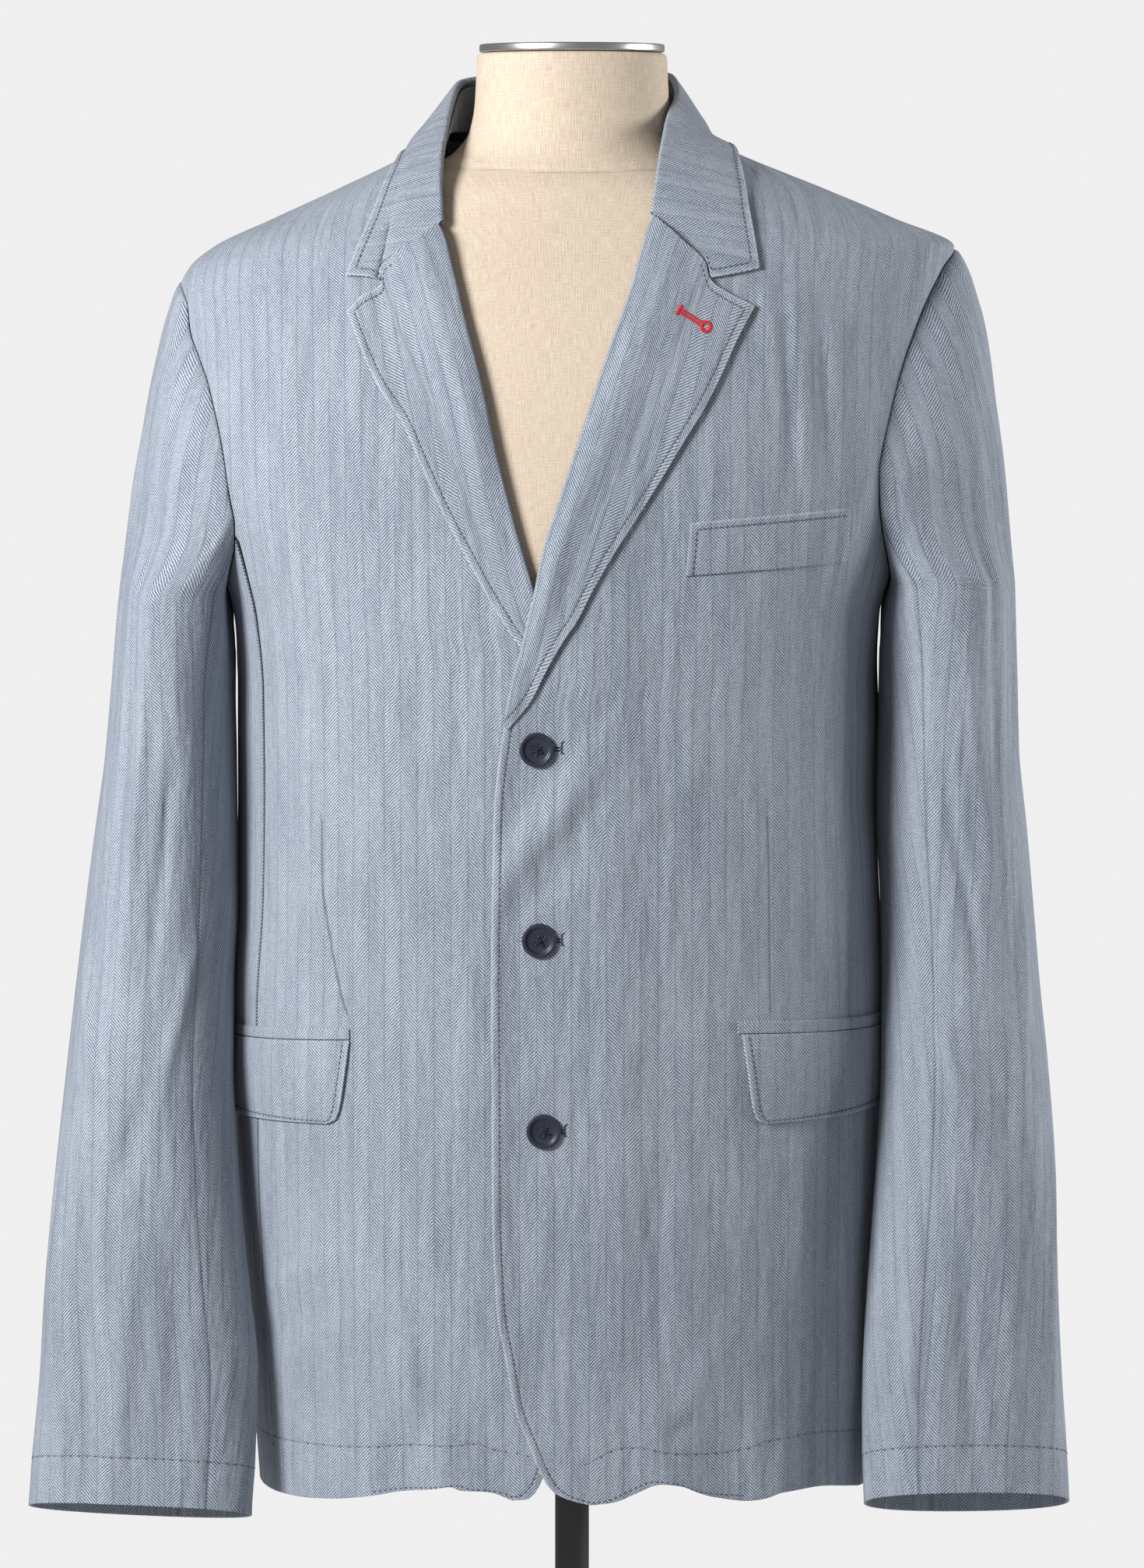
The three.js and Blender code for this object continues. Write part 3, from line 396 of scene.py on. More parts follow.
def front_grid(side):
    def drawn(points):
        rows = np.array(points, float)
        return np.column_stack([angle_at(rows[:, 0], rows[:, 1]) * ANGLE_SCALE, rows[:, 1]])

    def scaled(source):
        return lambda t: source(t) / [ANGLE_SCALE, 1]

    hole = ARMHOLES[side]
    neck = [side * RIGHT_ANGLE * ANGLE_SCALE, NECK_POINT]
    inner = line(np.vstack([drawn(EDGES[side]), neck]))
    outer = side_edge(side, "front", FRONT_SEAM, HEM_SIDE[side])
    corner = outer(0) * [ANGLE_SCALE, 1]
    bottom = line(np.vstack([drawn(HEMS[side]), corner]))

    def top(v):
        v = np.asarray(v, float)
        z = NECK_POINT + (hole["top"] - NECK_POINT) * v
        return np.stack([np.full(v.shape, side * RIGHT_ANGLE), z], -1)

    grid = patch(scaled(bottom), top, scaled(inner), outer)

    def inside(u, v):
        out = grid(u, v)
        limit = RIGHT_ANGLE - SEAM / 140
        out[..., 0] = side * np.minimum(side * out[..., 0], limit)
        return out

    return inside


def on_panel(grid, side, inner_gap, outer_gap, extra=none):
    """A panel as a surface on the body, each of its sides drawn in by a gap."""
    def point(u, v, lift):
        angle, z = np.moveaxis(grid(u, v), -1, 0)
        flat = ring_point(body_rings, angle, z)
        r = np.hypot(flat[..., 0], flat[..., 1])
        shift = side * ((1 - v) * inner_gap(z) - v * outer_gap) / r
        return body(angle + shift, z, lift + extra(flat[..., 0], z))

    return point


def side_grid(side):
    hole = ARMHOLES[side]
    joint, hem = hole["joint"], HEM_SIDE[side]

    def stacked(angle, z):
        angle, z = np.broadcast_arrays(angle, z)
        return np.stack([side * np.radians(angle), z], -1)

    def half(t):
        t = np.asarray(t, float)
        rise = np.sin(np.minimum(t, 1 - t) * math.pi)
        z = hole["base"] + (joint - hole["base"]) * (1 - rise)
        angle = np.where(t < 0.5, hole["front"](z)[..., 0], hole["back"](z)[..., 0])
        return stacked(angle, z)

    def inner(u):
        return stacked(float(FRONT_SEAM), hem + (joint - hem) * np.asarray(u, float))

    def outer(u):
        return stacked(float(BACK_SEAM), hem + 1 + (joint - hem - 1) * np.asarray(u, float))

    def bottom(v):
        v = np.asarray(v, float)
        return stacked(FRONT_SEAM + (BACK_SEAM - FRONT_SEAM) * v, hem + v)

    return patch(bottom, half, inner, outer)


def back_grid(side):
    hole = ARMHOLES[side]
    neck = line([[180, NAPE], [160, NAPE], [135, NAPE + 1], [110, NECK_POINT - 2],
                 [90, NECK_POINT]])
    split = 0.36
    outer = side_edge(side, "back", BACK_SEAM, HEM_SIDE[side] + 1)
    foot = outer(0)[1]

    def inner(u):
        u = np.asarray(u, float)
        return np.stack([np.full(u.shape, side * math.pi), 300 + (NAPE - 300) * u], -1)

    def bottom(v):
        v = np.asarray(v, float)
        angle = side * np.radians(180 - (180 - BACK_SEAM) * v)
        return np.stack([angle, 300 + (foot - 300) * v], -1)

    def top(v):
        v = np.asarray(v, float)
        along = neck(np.minimum(v / split, 1))
        drop = NECK_POINT + (hole["top"] - NECK_POINT) * np.maximum(v - split, 0) / (1 - split)
        angle = np.where(v < split, along[..., 0], 90)
        return np.stack([side * np.radians(angle), np.where(v < split, along[..., 1], drop)], -1)

    grid = patch(bottom, top, inner, outer)

    def outside(u, v):
        out = grid(u, v)
        out[..., 0] = side * np.maximum(side * out[..., 0], RIGHT_ANGLE + SEAM / 140)
        return out

    return outside


# Sleeves: height, outer x, inner x, middle y, half depth.
SLEEVES = {
    1: curve([
        [1012.5, 223.5, 200, 3, 20], [1007, 227, 200, 3, 34], [998, 230.8, 200, 2, 44],
        [985, 234.8, 200, 1, 56], [971, 238.8, 198, 0, 66], [948, 243, 194, 0, 75],
        [926, 246, 190, 0, 80], [903, 249.4, 186, 0, 84], [885, 251.6, 183, -1, 86],
        [858, 254, 181.5, -1, 86], [818, 256, 183, -2, 84], [771, 257.8, 183, -5, 79],
        [722, 260, 184, -11, 73.5], [677, 264.4, 185, -18, 69], [632, 268, 187, -27, 64.5],
        [587, 271.3, 188, -38, 60], [543, 275.3, 187.5, -50, 56], [499, 277.8, 184.5, -60, 52],
        [454, 279.6, 180, -68, 47], [410, 280.6, 175.5, -74, 42], [366, 282.5, 171.5, -79, 36],
        [322, 285.4, 169, -83, 31], [270, 288, 168, -86, 28]]),
    -1: curve([
        [994, 227.5, 205, 3, 20], [988, 230.5, 205, 3, 32], [980, 233.3, 205, 2, 42],
        [965, 238, 205, 1, 52], [948, 241.8, 204, 0, 64], [926, 246.2, 203, 0, 73],
        [903, 249.8, 201, 0, 80], [885, 252.6, 200, -1, 83], [858, 256.2, 199, -2, 84],
        [812, 261.2, 200, -4, 83], [767, 265.5, 200, -7, 79], [722, 270.8, 199, -12, 74],
        [677, 277, 199, -19, 70], [632, 282.6, 200, -28, 65.5], [587, 287.5, 202, -39, 61],
        [543, 292.1, 202, -50, 57], [499, 296.6, 199, -60, 52.5], [454, 301, 195, -68, 47.5],
        [410, 304.6, 189.5, -74, 42.5], [366, 307, 184.5, -79, 36.5], [322, 311, 184, -83, 31],
        [270, 315, 185, -86, 28]]),
}
SLEEVE_ROUND = 2.25

# Height at which each line of the sleeve starts, from the crown round to the armpit.
sleeve_top = curve([
    [0, 0], [14, 0.05], [28, 0.14], [42, 0.26], [58, 0.42], [74, 0.56], [90, 0.67], [110, 0.78],
    [130, 0.87], [152, 0.95], [180, 1],
])

# Cuffs: middle height, rise toward the front, rise toward the outside.
CUFFS = {1: [292, 0.36, 0.01], -1: [286, 0.28, 0.045]}

# Creases of the sleeves: start angle and share of the length up, end of both, height, half width.
SLEEVE_CREASES = {
    1: [
        [20, 0.93, 30, 0.55, 1.5, 9], [52, 0.9, 58, 0.62, -1.3, 9], [80, 0.82, 66, 0.5, 1.5, 10],
        [104, 0.74, 84, 0.5, -1.4, 9], [40, 0.5, 62, 0.32, 1.3, 11], [88, 0.46, 60, 0.3, -1.3, 10],
        [118, 0.5, 92, 0.36, 1.6, 10], [18, 0.34, 34, 0.06, 1.3, 11], [70, 0.3, 58, 0.02, 1.5, 12],
        [96, 0.26, 84, 0.0, -1.3, 11], [128, 0.3, 122, 0.04, 1.2, 12],
        [-40, 0.9, -50, 0.5, 1.6, 11], [-80, 0.8, -66, 0.46, -1.5, 12],
        [-70, 0.44, -100, 0.36, 1.5, 9], [-30, 0.34, -46, 0.04, 1.4, 12],
        [-96, 0.28, -84, 0.02, -1.4, 12]],
    -1: [
        [14, 0.93, 24, 0.6, 1.4, 9], [46, 0.92, 58, 0.58, -1.4, 9], [72, 0.86, 72, 0.5, 1.6, 10],
        [100, 0.76, 92, 0.52, -1.5, 9], [126, 0.6, 104, 0.42, 1.7, 9],
        [30, 0.48, 60, 0.36, 1.4, 10], [96, 0.42, 70, 0.28, -1.4, 11],
        [20, 0.28, 44, 0.04, 1.6, 11], [54, 0.3, 62, 0.0, -1.7, 11], [84, 0.26, 76, 0.0, 1.6, 12],
        [112, 0.3, 104, 0.02, -1.2, 12], [-36, 0.9, -52, 0.5, 1.6, 11],
        [-84, 0.8, -70, 0.46, -1.5, 12], [-66, 0.42, -100, 0.34, 1.5, 9],
        [-34, 0.32, -50, 0.04, 1.4, 12], [-92, 0.3, -86, 0.02, -1.4, 12]],
}
# How far the inner side of each sleeve leans in toward the body, by height.
LEAN = {
    1: curve([[290, 0], [388, 5.4], [499, 8.6], [560, 9.5], [600, 8.9], [640, 8.6], [680, 8.3],
              [700, 8], [720, 6.9], [742, 6], [760, 5.4], [780, 5.1], [800, 3.8], [820, 0]]),
    -1: curve([[290, 0], [316, 1.5], [388, 4.5], [499, 6], [560, 6.8], [620, 6.7], [660, 5.4],
               [700, 4.7], [740, 4.1], [760, 4.2], [780, 3.6], [800, 1.6], [815, 0]]),
}
SLEEVE_SPAN = {1: 720, -1: 705}
GIRTH_STEP = 2.2 * 0.8


def sleeve_creases(side, phi, t):
    """Height of the creases at an angle round the sleeve and a share of its length."""
    total = np.zeros(np.broadcast(phi, t).shape)
    scale = np.array([GIRTH_STEP, SLEEVE_SPAN[side]] * 2)
    for *ends, height, half in SLEEVE_CREASES[side]:
        along, gap = off_segment(phi * scale[0], t * scale[1], *(np.array(ends) * scale))
        total += height * ease(along, -0.15, 0.3) * ease(along, 1.2, 0.6) * bell(gap, 0, half)
    gathers = np.sin(np.radians(phi) * 9 + side) * 0.45 + np.sin(np.radians(phi) * 15.3) * 0.3
    return total * CREASE_GAIN + gathers * ease(t, 0.86, 0.95) * ease(t, 1.0, 0.975)


def sleeve_point(side, phi, z, reach):
    out_x, table_x, table_y, table_depth = np.moveaxis(SLEEVES[side](z), -1, 0)
    hole = ARMHOLES[side]
    at = np.minimum(z, hole["top"])
    fore = body(side * np.radians(hole["front"](at)[..., 0]), at, 0.0)
    aft = body(side * np.radians(hole["back"](at)[..., 0]), at, 0.0)
    cap = ease(z, hole["base"] + 4, hole["base"] + 66)

    def mix(low, high):
        return low + (high - low) * cap

    in_x = mix(table_x, np.abs(fore[..., 0] + aft[..., 0]) / 2 + ARM_GAP)
    mid_y = mix(table_y, (fore[..., 1] + aft[..., 1]) / 2)
    depth = mix(table_depth, (aft[..., 1] - fore[..., 1]) / 2)
    c, s = np.cos(np.radians(phi)), np.sin(np.radians(phi))
    r = (np.abs(c) ** SLEEVE_ROUND + np.abs(s) ** SLEEVE_ROUND) ** (-1 / SLEEVE_ROUND)
    opened = ease(reach, 90, 180)
    middle = in_x + (out_x - in_x) / 2 * opened
    half = np.where(c > 0, out_x - middle, middle - in_x)
    return np.stack([side * (middle + half * r * c), mid_y - depth * r * s, z], -1)


def sleeve_line(side, around, t):
    """Lines down the sleeve at an angle round it: 0 outside, 90 front, 180 at the body."""
    around, t = np.broadcast_arrays(np.asarray(around, float), np.asarray(t, float))
    phi = np.where(around > 180, around - 360, around)
    hole = ARMHOLES[side]
    turn = np.abs(phi)
    deep = hole["top"] - hole["base"]
    top = hole["top"] - deep * sleeve_top(turn)[..., 0]

    def shape(z):
        zero = np.zeros(z.shape)
        reach = halve(zero, zero + 180,
                      lambda m: hole["top"] - deep * sleeve_top(m)[..., 0] > z, 22)
        reach = np.maximum(reach, 0.01)
        spread = np.where(reach < 90, 90 / reach, 1)
        return sleeve_point(side, np.sign(phi) * np.minimum(turn * spread, 180), z, reach)

    split = np.where(phi >= 0, hole["front"](top)[..., 0], hole["back"](top)[..., 0])
    seat = body(side * np.radians(split), top, 0.0)
    seat[..., 0] += side * ARM_GAP
    seat[..., 2] -= 0.6 * ease(turn, 30, 0)
    middle, forward, outward = CUFFS[side]
    low = shape(np.full(phi.shape, float(middle)))
    bottom = middle - forward * (low[..., 1] + 86) + outward * (np.abs(low[..., 0]) - 228)
    z = bottom + (top - bottom) * t
    fix = ease(z, top - np.minimum(90, (top - bottom) * 0.3), top)
    out = shape(z) + (seat - shape(top)) * fix[..., None]
    out[..., 0] -= side * LEAN[side](z)[..., 0] * bell(np.mod(phi, 360), 165, 42)
    return out


def sleeve_at(side, start, end):
    def point(u, v, lift):
        u, v = np.broadcast_arrays(np.asarray(u, float), np.asarray(v, float))
        phi = start + (end - start) * v
        du = np.minimum(u, 0.995)
        up = sleeve_line(side, phi, du + 0.004) - sleeve_line(side, phi, du - 0.004)
        around = sleeve_line(side, phi + 1, u) - sleeve_line(side, phi - 1, u)
        normal = -side * unit(np.cross(around, up))
        turned = np.where(phi > 180, phi - 360, phi)
        raised = lift + sleeve_creases(side, turned, u)
        return sleeve_line(side, phi, u) + normal * raised[..., None]

    return point


# Lapels: break line and outer edge from the bottom up, then the top edge from the break out.
LAPELS = {
    1: {
        "fold": [[-37.6, 744.5], [-34.4, 758], [-31.2, 773], [-27.4, 786], [-24, 802],
                 [-20.8, 815], [-16, 840], [-6.6, 870.5], [3.5, 902], [18.9, 950], [33, 990],
                 [41.5, 1021], [45.2, 1030.4]],
        "edge": [[-35.6, 742.5], [-30.6, 748.5], [-23.2, 758], [-14, 776], [-3.9, 793.3],
                 [2.2, 802], [11.4, 819.6], [22.8, 839.5], [36.6, 861], [52.2, 886],
                 [64, 905.5], [73.7, 921], [83.8, 940.6], [91.7, 958], [102.7, 978.5]],
        "top": [[45.2, 1030.4], [61.6, 1014.8], [75.2, 1002.6], [77.8, 993.6], [87.9, 986],
                [102.7, 978.5]],
    },
    -1: {
        "fold": [[-13, 776], [-15.3, 795.4], [-21.5, 816.4], [-32.9, 856.5], [-43, 896.6],
                 [-51.3, 936.7], [-59.8, 970], [-66.7, 998.4], [-72.6, 1020.4],
                 [-75.2, 1025]],
        "edge": [[-18, 777], [-29.3, 789], [-46.2, 814.7], [-59.6, 839], [-71.5, 861.3],
                 [-83.2, 886.4], [-95, 913], [-110.4, 936.6], [-119.8, 958.2],
                 [-126.6, 975.5]],
        "top": [[-75.2, 1025], [-91, 1012], [-101, 1006], [-108.4, 999.5], [-107.4, 991.8],
                [-120, 982.5], [-126.6, 975.5]],
    },
}


def lapel_at(side):
    lines = LAPELS[side]
    foot = line([lines["fold"][0], lines["edge"][0]])
    grid = patch(foot, line(lines["top"]), line(lines["fold"]), line(lines["edge"]))
    low = 0.05 if side > 0 else 0.25
    under = overlap if side > 0 else none

    def point(u, v, lift):
        x, z = np.moveaxis(grid(u, v), -1, 0)
        roll = 3.5 * bell(v, 0.24, 0.2) * ease(u, low, low + 0.3)
        base = (LAYER + WALL) * (0.4 + 0.6 * ease(u, 0, 0.16)) + under(x, z) + roll
        return body(angle_at(x, z), z, base + lift)

    return point


# Collar: roll line round the neck, outer edge of the fall, its two ends, and the neckline.
ROLL = line([
    [-75.2, -91, 1026], [-76, -74, 1049], [-75, -52, 1065], [-73.5, -26, 1080],
    [-71, 2, 1095.5], [-66, 34, 1108.5], [-42, 61, 1113], [0, 71, 1114.5], [38, 63, 1115],
    [57.5, 38, 1113], [62, 6, 1102.5], [56.5, -30, 1088], [50.6, -60, 1065], [47, -83, 1040],
    [46.2, -92, 1031.5],
])
FALL_EDGE = [
    [-127.5, 996, 1], [-121.5, 1012, 1], [-114, 1029, 1], [-107.6, 1045, 1], [-100.6, 1059, 1],
    [-96, 1065.5, 0], [-90.5, 1060.5, -1], [-80, 1052, -1], [-58, 1046, -1], [-25, 1043, -1],
    [25, 1043, -1], [58, 1046, -1], [79, 1053.5, -1], [87.5, 1063.5, -1], [91.5, 1069, 0],
    [95.4, 1060, 1], [99.6, 1039, 1], [103.4, 1017, 1], [105.7, 1000.3, 1],
]
COLLAR_ENDS = [
    [[-74.4, 1025.9], [-91.4, 1012.9], [-101.6, 1006.9], [-109.2, 1000.1], [-108.4, 993.6],
     [-117.5, 995.5], [-127.5, 996]],
    [[46, 1031.1], [62.3, 1015.7], [76, 1003.2], [78.7, 995], [94.8, 997.8],
     [105.7, 1000.3]],
]
REST = LAYER + 1.2


def body_at(x, z, facing, lift):
    """Point of the body at x and z, on its front (1), its shoulder line (0) or its back (-1)."""
    if facing == 0:
        return body(math.copysign(RIGHT_ANGLE, x), z, lift)
    return body(angle_at(x, z, facing), z, lift)


def collar_lines():
    edge = []
    for k, (x, z, facing) in enumerate(FALL_EDGE):
        edge.append(body_at(x, z, facing, LAYER if k < 4 or k > 15 else REST))
    ends = [line([body_at(x, z, 1, LAYER) for x, z in points]) for points in COLLAR_ENDS]
    tips = [body_at(-74.4, 1025.9, 1, LAYER + 0.6), body_at(46.2, 1031.5, 1, LAYER + 0.6)]
    return line(edge), ends, tips


fall_edge, collar_ends, roll_tips = collar_lines()


def roll_point(s):
    s = np.asarray(s, float)
    first = (s < 0.5)[..., None]
    near = np.where(first, roll_tips[0], roll_tips[1])
    far = np.where(first, ROLL(0.0), ROLL(1.0))
    fade = ease(np.minimum(s, 1 - s), 0.1, 0)[..., None]
    return ROLL(s) + (near - far) * fade


def clear_of(points, margin):
    """Pushes points out until they are a margin clear of the body under them."""
    p = points.copy()

    def inside(x, y, z):
        left, right, front, back, power = np.moveaxis(body_rings(z), -1, 0)
        a = np.where(x < 0, left, right)
        b = np.where(y < 0, front, back)
        return (z <= 1083) & ((np.abs(x) / a) ** power + (np.abs(y) / b) ** power < 1)

    for _ in range(160):
        x, y, z = np.moveaxis(p, -1, 0)
        flat = np.hypot(x, y)
        shrink = 1 - margin / flat
        hit = inside(x * shrink, y * shrink, z) | inside(x, y, z - margin)
        if not hit.any():
            break
        p[..., 2] += 0.075 * hit
        p[..., 0] += 0.0375 * x / flat * hit
        p[..., 1] += 0.0375 * y / flat * hit
    return p


def fall_point(s, t):
    s, t = np.broadcast_arrays(np.asarray(s, float), np.asarray(t, float))
    across = patch(collar_ends[0], collar_ends[1], roll_point, fall_edge)(s, t)
    side = np.minimum(s, 1 - s)
    bulge = 5.5 * ease(side, 0.02, 0.2) * np.sin(math.pi * np.clip(t, 0, 1)) ** 0.8
    flat = np.hypot(across[..., 0], across[..., 1])
    across[..., 0] += bulge * 0.75 * across[..., 0] / flat
    across[..., 1] += bulge * 0.75 * across[..., 1] / flat
    across[..., 2] += bulge * 0.66
    return clear_of(across, LAYER + 1.2 * ease(side, 0.05, 0.2))


def on_grid(at, outward, base=0.0):
    """A surface moved along its own normal, found from its neighbours."""
    def point(u, v, lift):
        u, v = np.broadcast_arrays(np.asarray(u, float), np.asarray(v, float))
        u0, v0 = np.clip(u, 0.003, 0.997), np.clip(v, 0.02, 0.98)
        du = at(u0 + 0.003, v) - at(u0 - 0.003, v)
        dv = at(u, v0 + 0.02) - at(u, v0 - 0.02)
        raised = np.broadcast_to(np.asarray(lift, float) + base, u.shape)[..., None]
        return at(u, v) + outward * unit(np.cross(du, dv)) * raised

    return point


def neckline():
    def foot(x, z):
        return body_at(x, z, 1, -0.6)

    return line([
        foot(-71, 1036), foot(-75, 1053), [-76, -37, 1071], [-70.5, 0, 1079.5], [-62, 36, 1080],
        [-40, 55, 1078], [0, 64, 1077], [38, 55, 1078], [60, 34, 1080], [69.5, 0, 1079.5],
        [69.5, -32, 1075], foot(59.5, 1066), foot(51, 1056), foot(43.5, 1040),
    ])


NECKLINE = neckline()


def stand_point(s, t):
    s, t = np.broadcast_arrays(np.asarray(s, float), np.asarray(t, float))
    s = 0.075 + 0.85 * s
    foot = NECKLINE(s)
    head = roll_point(0.035 + 0.93 * s)
    flat = np.hypot(head[..., 0], head[..., 1])
    head[..., 0] -= 1.6 * head[..., 0] / flat
    head[..., 1] -= 1.6 * head[..., 1] / flat
    head[..., 2] -= 4.5
    return foot + (head - foot) * t[..., None]


# Pockets by their corners: x and height, or the angle where the sleeve hides their end.
HIP = {
    1: {
        "welt": [[93.8, 569], [83, 564], [93.8, 575.5], [83, 570]],
        "flap": [[110, 516.6], [83, 519], [96.2, 568], [83, 563]],
        "round": [[106, 518.4], [103, 523.5], [99.6, 545]],
    },
    -1: {
        "welt": [[-126.3, 564.3], [-84, 557], [-126.3, 570], [-84, 562.6]],
        "flap": [[-139, 515.2], [-84, 511.5], [-126.2, 563.3], [-84, 556]],
        "round": [[-135, 517.2], [-132.4, 521.6], [-128.6, 543]],
    },
}
CHEST = [[64.2, 828], [157.4, 834.4], [67, 857.4], [154.2, 864.5]]


def pocket_grid(corners):
    low_in, low_out, high_in, high_out, *between = corners
    return patch(line([low_in, low_out]), line([high_in, high_out]),
                 line([low_in, *between, high_in]), line([low_out, high_out]))


def laid_at(grid, lift, thick, extra, puff):
    """A pocket piece as a surface that lies on the front, swelling in its middle."""
    def point(u, v, deep):
        angle, z = np.moveaxis(grid(u, v), -1, 0)
        x = ring_point(body_rings, angle, z)[..., 0]
        swell = puff * np.sin(math.pi * np.clip(u, 0, 1)) ** 0.7
        return body(angle, z, lift + thick + deep + extra(x, z) + swell)

    return point


def hip_corners(side, name):
    rows = []
    for k, (x, z) in enumerate(HIP[side][name]):
        rows.append([float(angle_at(x, z)) if k % 2 == 0 else side * math.radians(abs(x)), z])
    if name == "flap":
        rows += [[float(angle_at(x, z)), z] for x, z in HIP[side]["round"]]
    return rows


def spaced(near, far, count, whole):
    """Places in millimetres along a line: some at set distances from each end, the rest even."""
    reach = max(near[-1] + far[-1], 1e-6)
    shrink = np.minimum(1, whole / (1.6 * reach))
    low = np.array(near) * shrink
    high = whole - np.array(far[::-1]) * shrink
    t = np.linspace(0, 1, count + 2)[1:-1]
    middle = low[..., -1:] + (high[..., :1] - low[..., -1:]) * t
    return np.concatenate([low, middle, high], -1)


def lengths(points, axis):
    """Distance walked along a grid's axis, starting at nought."""
    steps = np.linalg.norm(np.diff(points, axis=axis), axis=-1)
    walked = np.cumsum(steps, axis=axis)
    zero = np.zeros_like(np.take(walked, [0], axis=axis))
    return np.concatenate([zero, walked], axis)


def lattice(at, rows, cols):
    """u and v over a panel. rows and cols are (near, far, pitch), all in millimetres."""
    scout_u, scout_v = np.linspace(0, 1, 61), np.linspace(0, 1, 41)
    scout = at(scout_u[:, None], scout_v[None, :], 0.0)
    tall, wide = lengths(scout, 0), lengths(scout, 1)
    middle = tall[:, 20]
    near, far, pitch = rows
    count = max(2, int((middle[-1] - near[-1] - far[-1]) / pitch))
    u = np.interp(spaced(near, far, count, middle[-1:]), middle, scout_u)
    near, far, pitch = cols
    count = max(2, int((wide[:, -1].max() - near[-1] - far[-1]) / pitch))
    places = []
    for share in u:
        row = np.array([np.interp(share, scout_u, wide[:, j]) for j in range(len(scout_v))])
        places.append(np.interp(spaced(near, far, count, row[-1:]), row, scout_v))
    v = np.array(places)
    return np.broadcast_to(u[:, None], v.shape), v


RIM_STEPS = 3
EDGE_ROWS = [0, 0.8, 1.8, 3.0, 3.7, 4.2, 4.7, 5.6, 7.5]
PLAIN_ROWS = [0, 1.2, 3]
POCKET_ROWS = [0, 0.7, 1.5, 2.4, 3.2, 3.8, 4.4, 5.4]


def sewn_height(edge):
    """Rise of a turned edge and the groove of its stitching, by distance from the edge."""
    return 0.10 * bell(edge, 2.0, 1.3) - 0.17 * bell(edge, STITCH_IN, 0.7)


def edge_distance(outer, sides, part=None):
    """Distance over the cloth from the nearest of the named sides of a grid of points."""
    tall, wide = lengths(outer, 0), lengths(outer, 1)
    found = np.full(outer.shape[:2], FAR)
    fields = {"u0": tall, "u1": tall[-1:] - tall, "v0": wide, "v1": wide[:, -1:] - wide}
    for side in sides:
        away = fields[side]
        if part is not None and side in part:
            share = wide / wide[:, -1:] if side[0] == "u" else tall / tall[-1:]
            low, high = part[side]
            away = away + FAR * (1 - ease(share, low, high))
        found = np.minimum(found, away)
    return found


def smooth_piece(name, mesh, cloth=None, fields=None):
    """A smooth piece at the origin from its mesh, with what its points carry."""
    mesh.validate()
    mesh.polygons.foreach_set("use_smooth", np.ones(len(mesh.polygons), bool))
    if cloth is not None:
        layer = mesh.uv_layers.new(name="cloth")
        index = np.empty(len(mesh.loops), np.int32)
        mesh.loops.foreach_get("vertex_index", index)
        layer.data.foreach_set("uv", (np.asarray(cloth) * MM)[index].astype(np.float32).ravel())
    for key, values in (fields or {}).items():
        data = mesh.attributes.new(key, "FLOAT", "POINT")
        data.data.foreach_set("value", np.asarray(values, np.float32).ravel())
    return linked(name, mesh)


def linked(name, data):
    """An object of the scene made from a mesh, lamp or camera."""
    obj = bpy.data.objects.new(name, data)
    bpy.context.scene.collection.objects.link(obj)
    return obj


def arrays_to_mesh(name, points, faces, cloth=None, fields=None):
    """A smooth piece from points in millimetres and faces that all have one count of corners."""
    mesh = bpy.data.meshes.new(name)
    points = np.asarray(points, float) * MM
    faces = np.asarray(faces, np.int32)
    mesh.vertices.add(len(points))
    mesh.vertices.foreach_set("co", points.astype(np.float32).ravel())
    mesh.loops.add(faces.size)
    mesh.loops.foreach_set("vertex_index", faces.ravel())
    mesh.polygons.add(len(faces))
    mesh.polygons.foreach_set("loop_start", np.arange(0, faces.size, faces.shape[1]))
    mesh.update(calc_edges=True)
    return smooth_piece(name, mesh, cloth, fields)


def volume_sign(points, quads):
    a, b, c, d = (points[quads[:, k]] for k in range(4))
    six = np.einsum("ij,ij->i", a, np.cross(b, c)) + np.einsum("ij,ij->i", a, np.cross(c, d))
    return np.sign(six.sum())


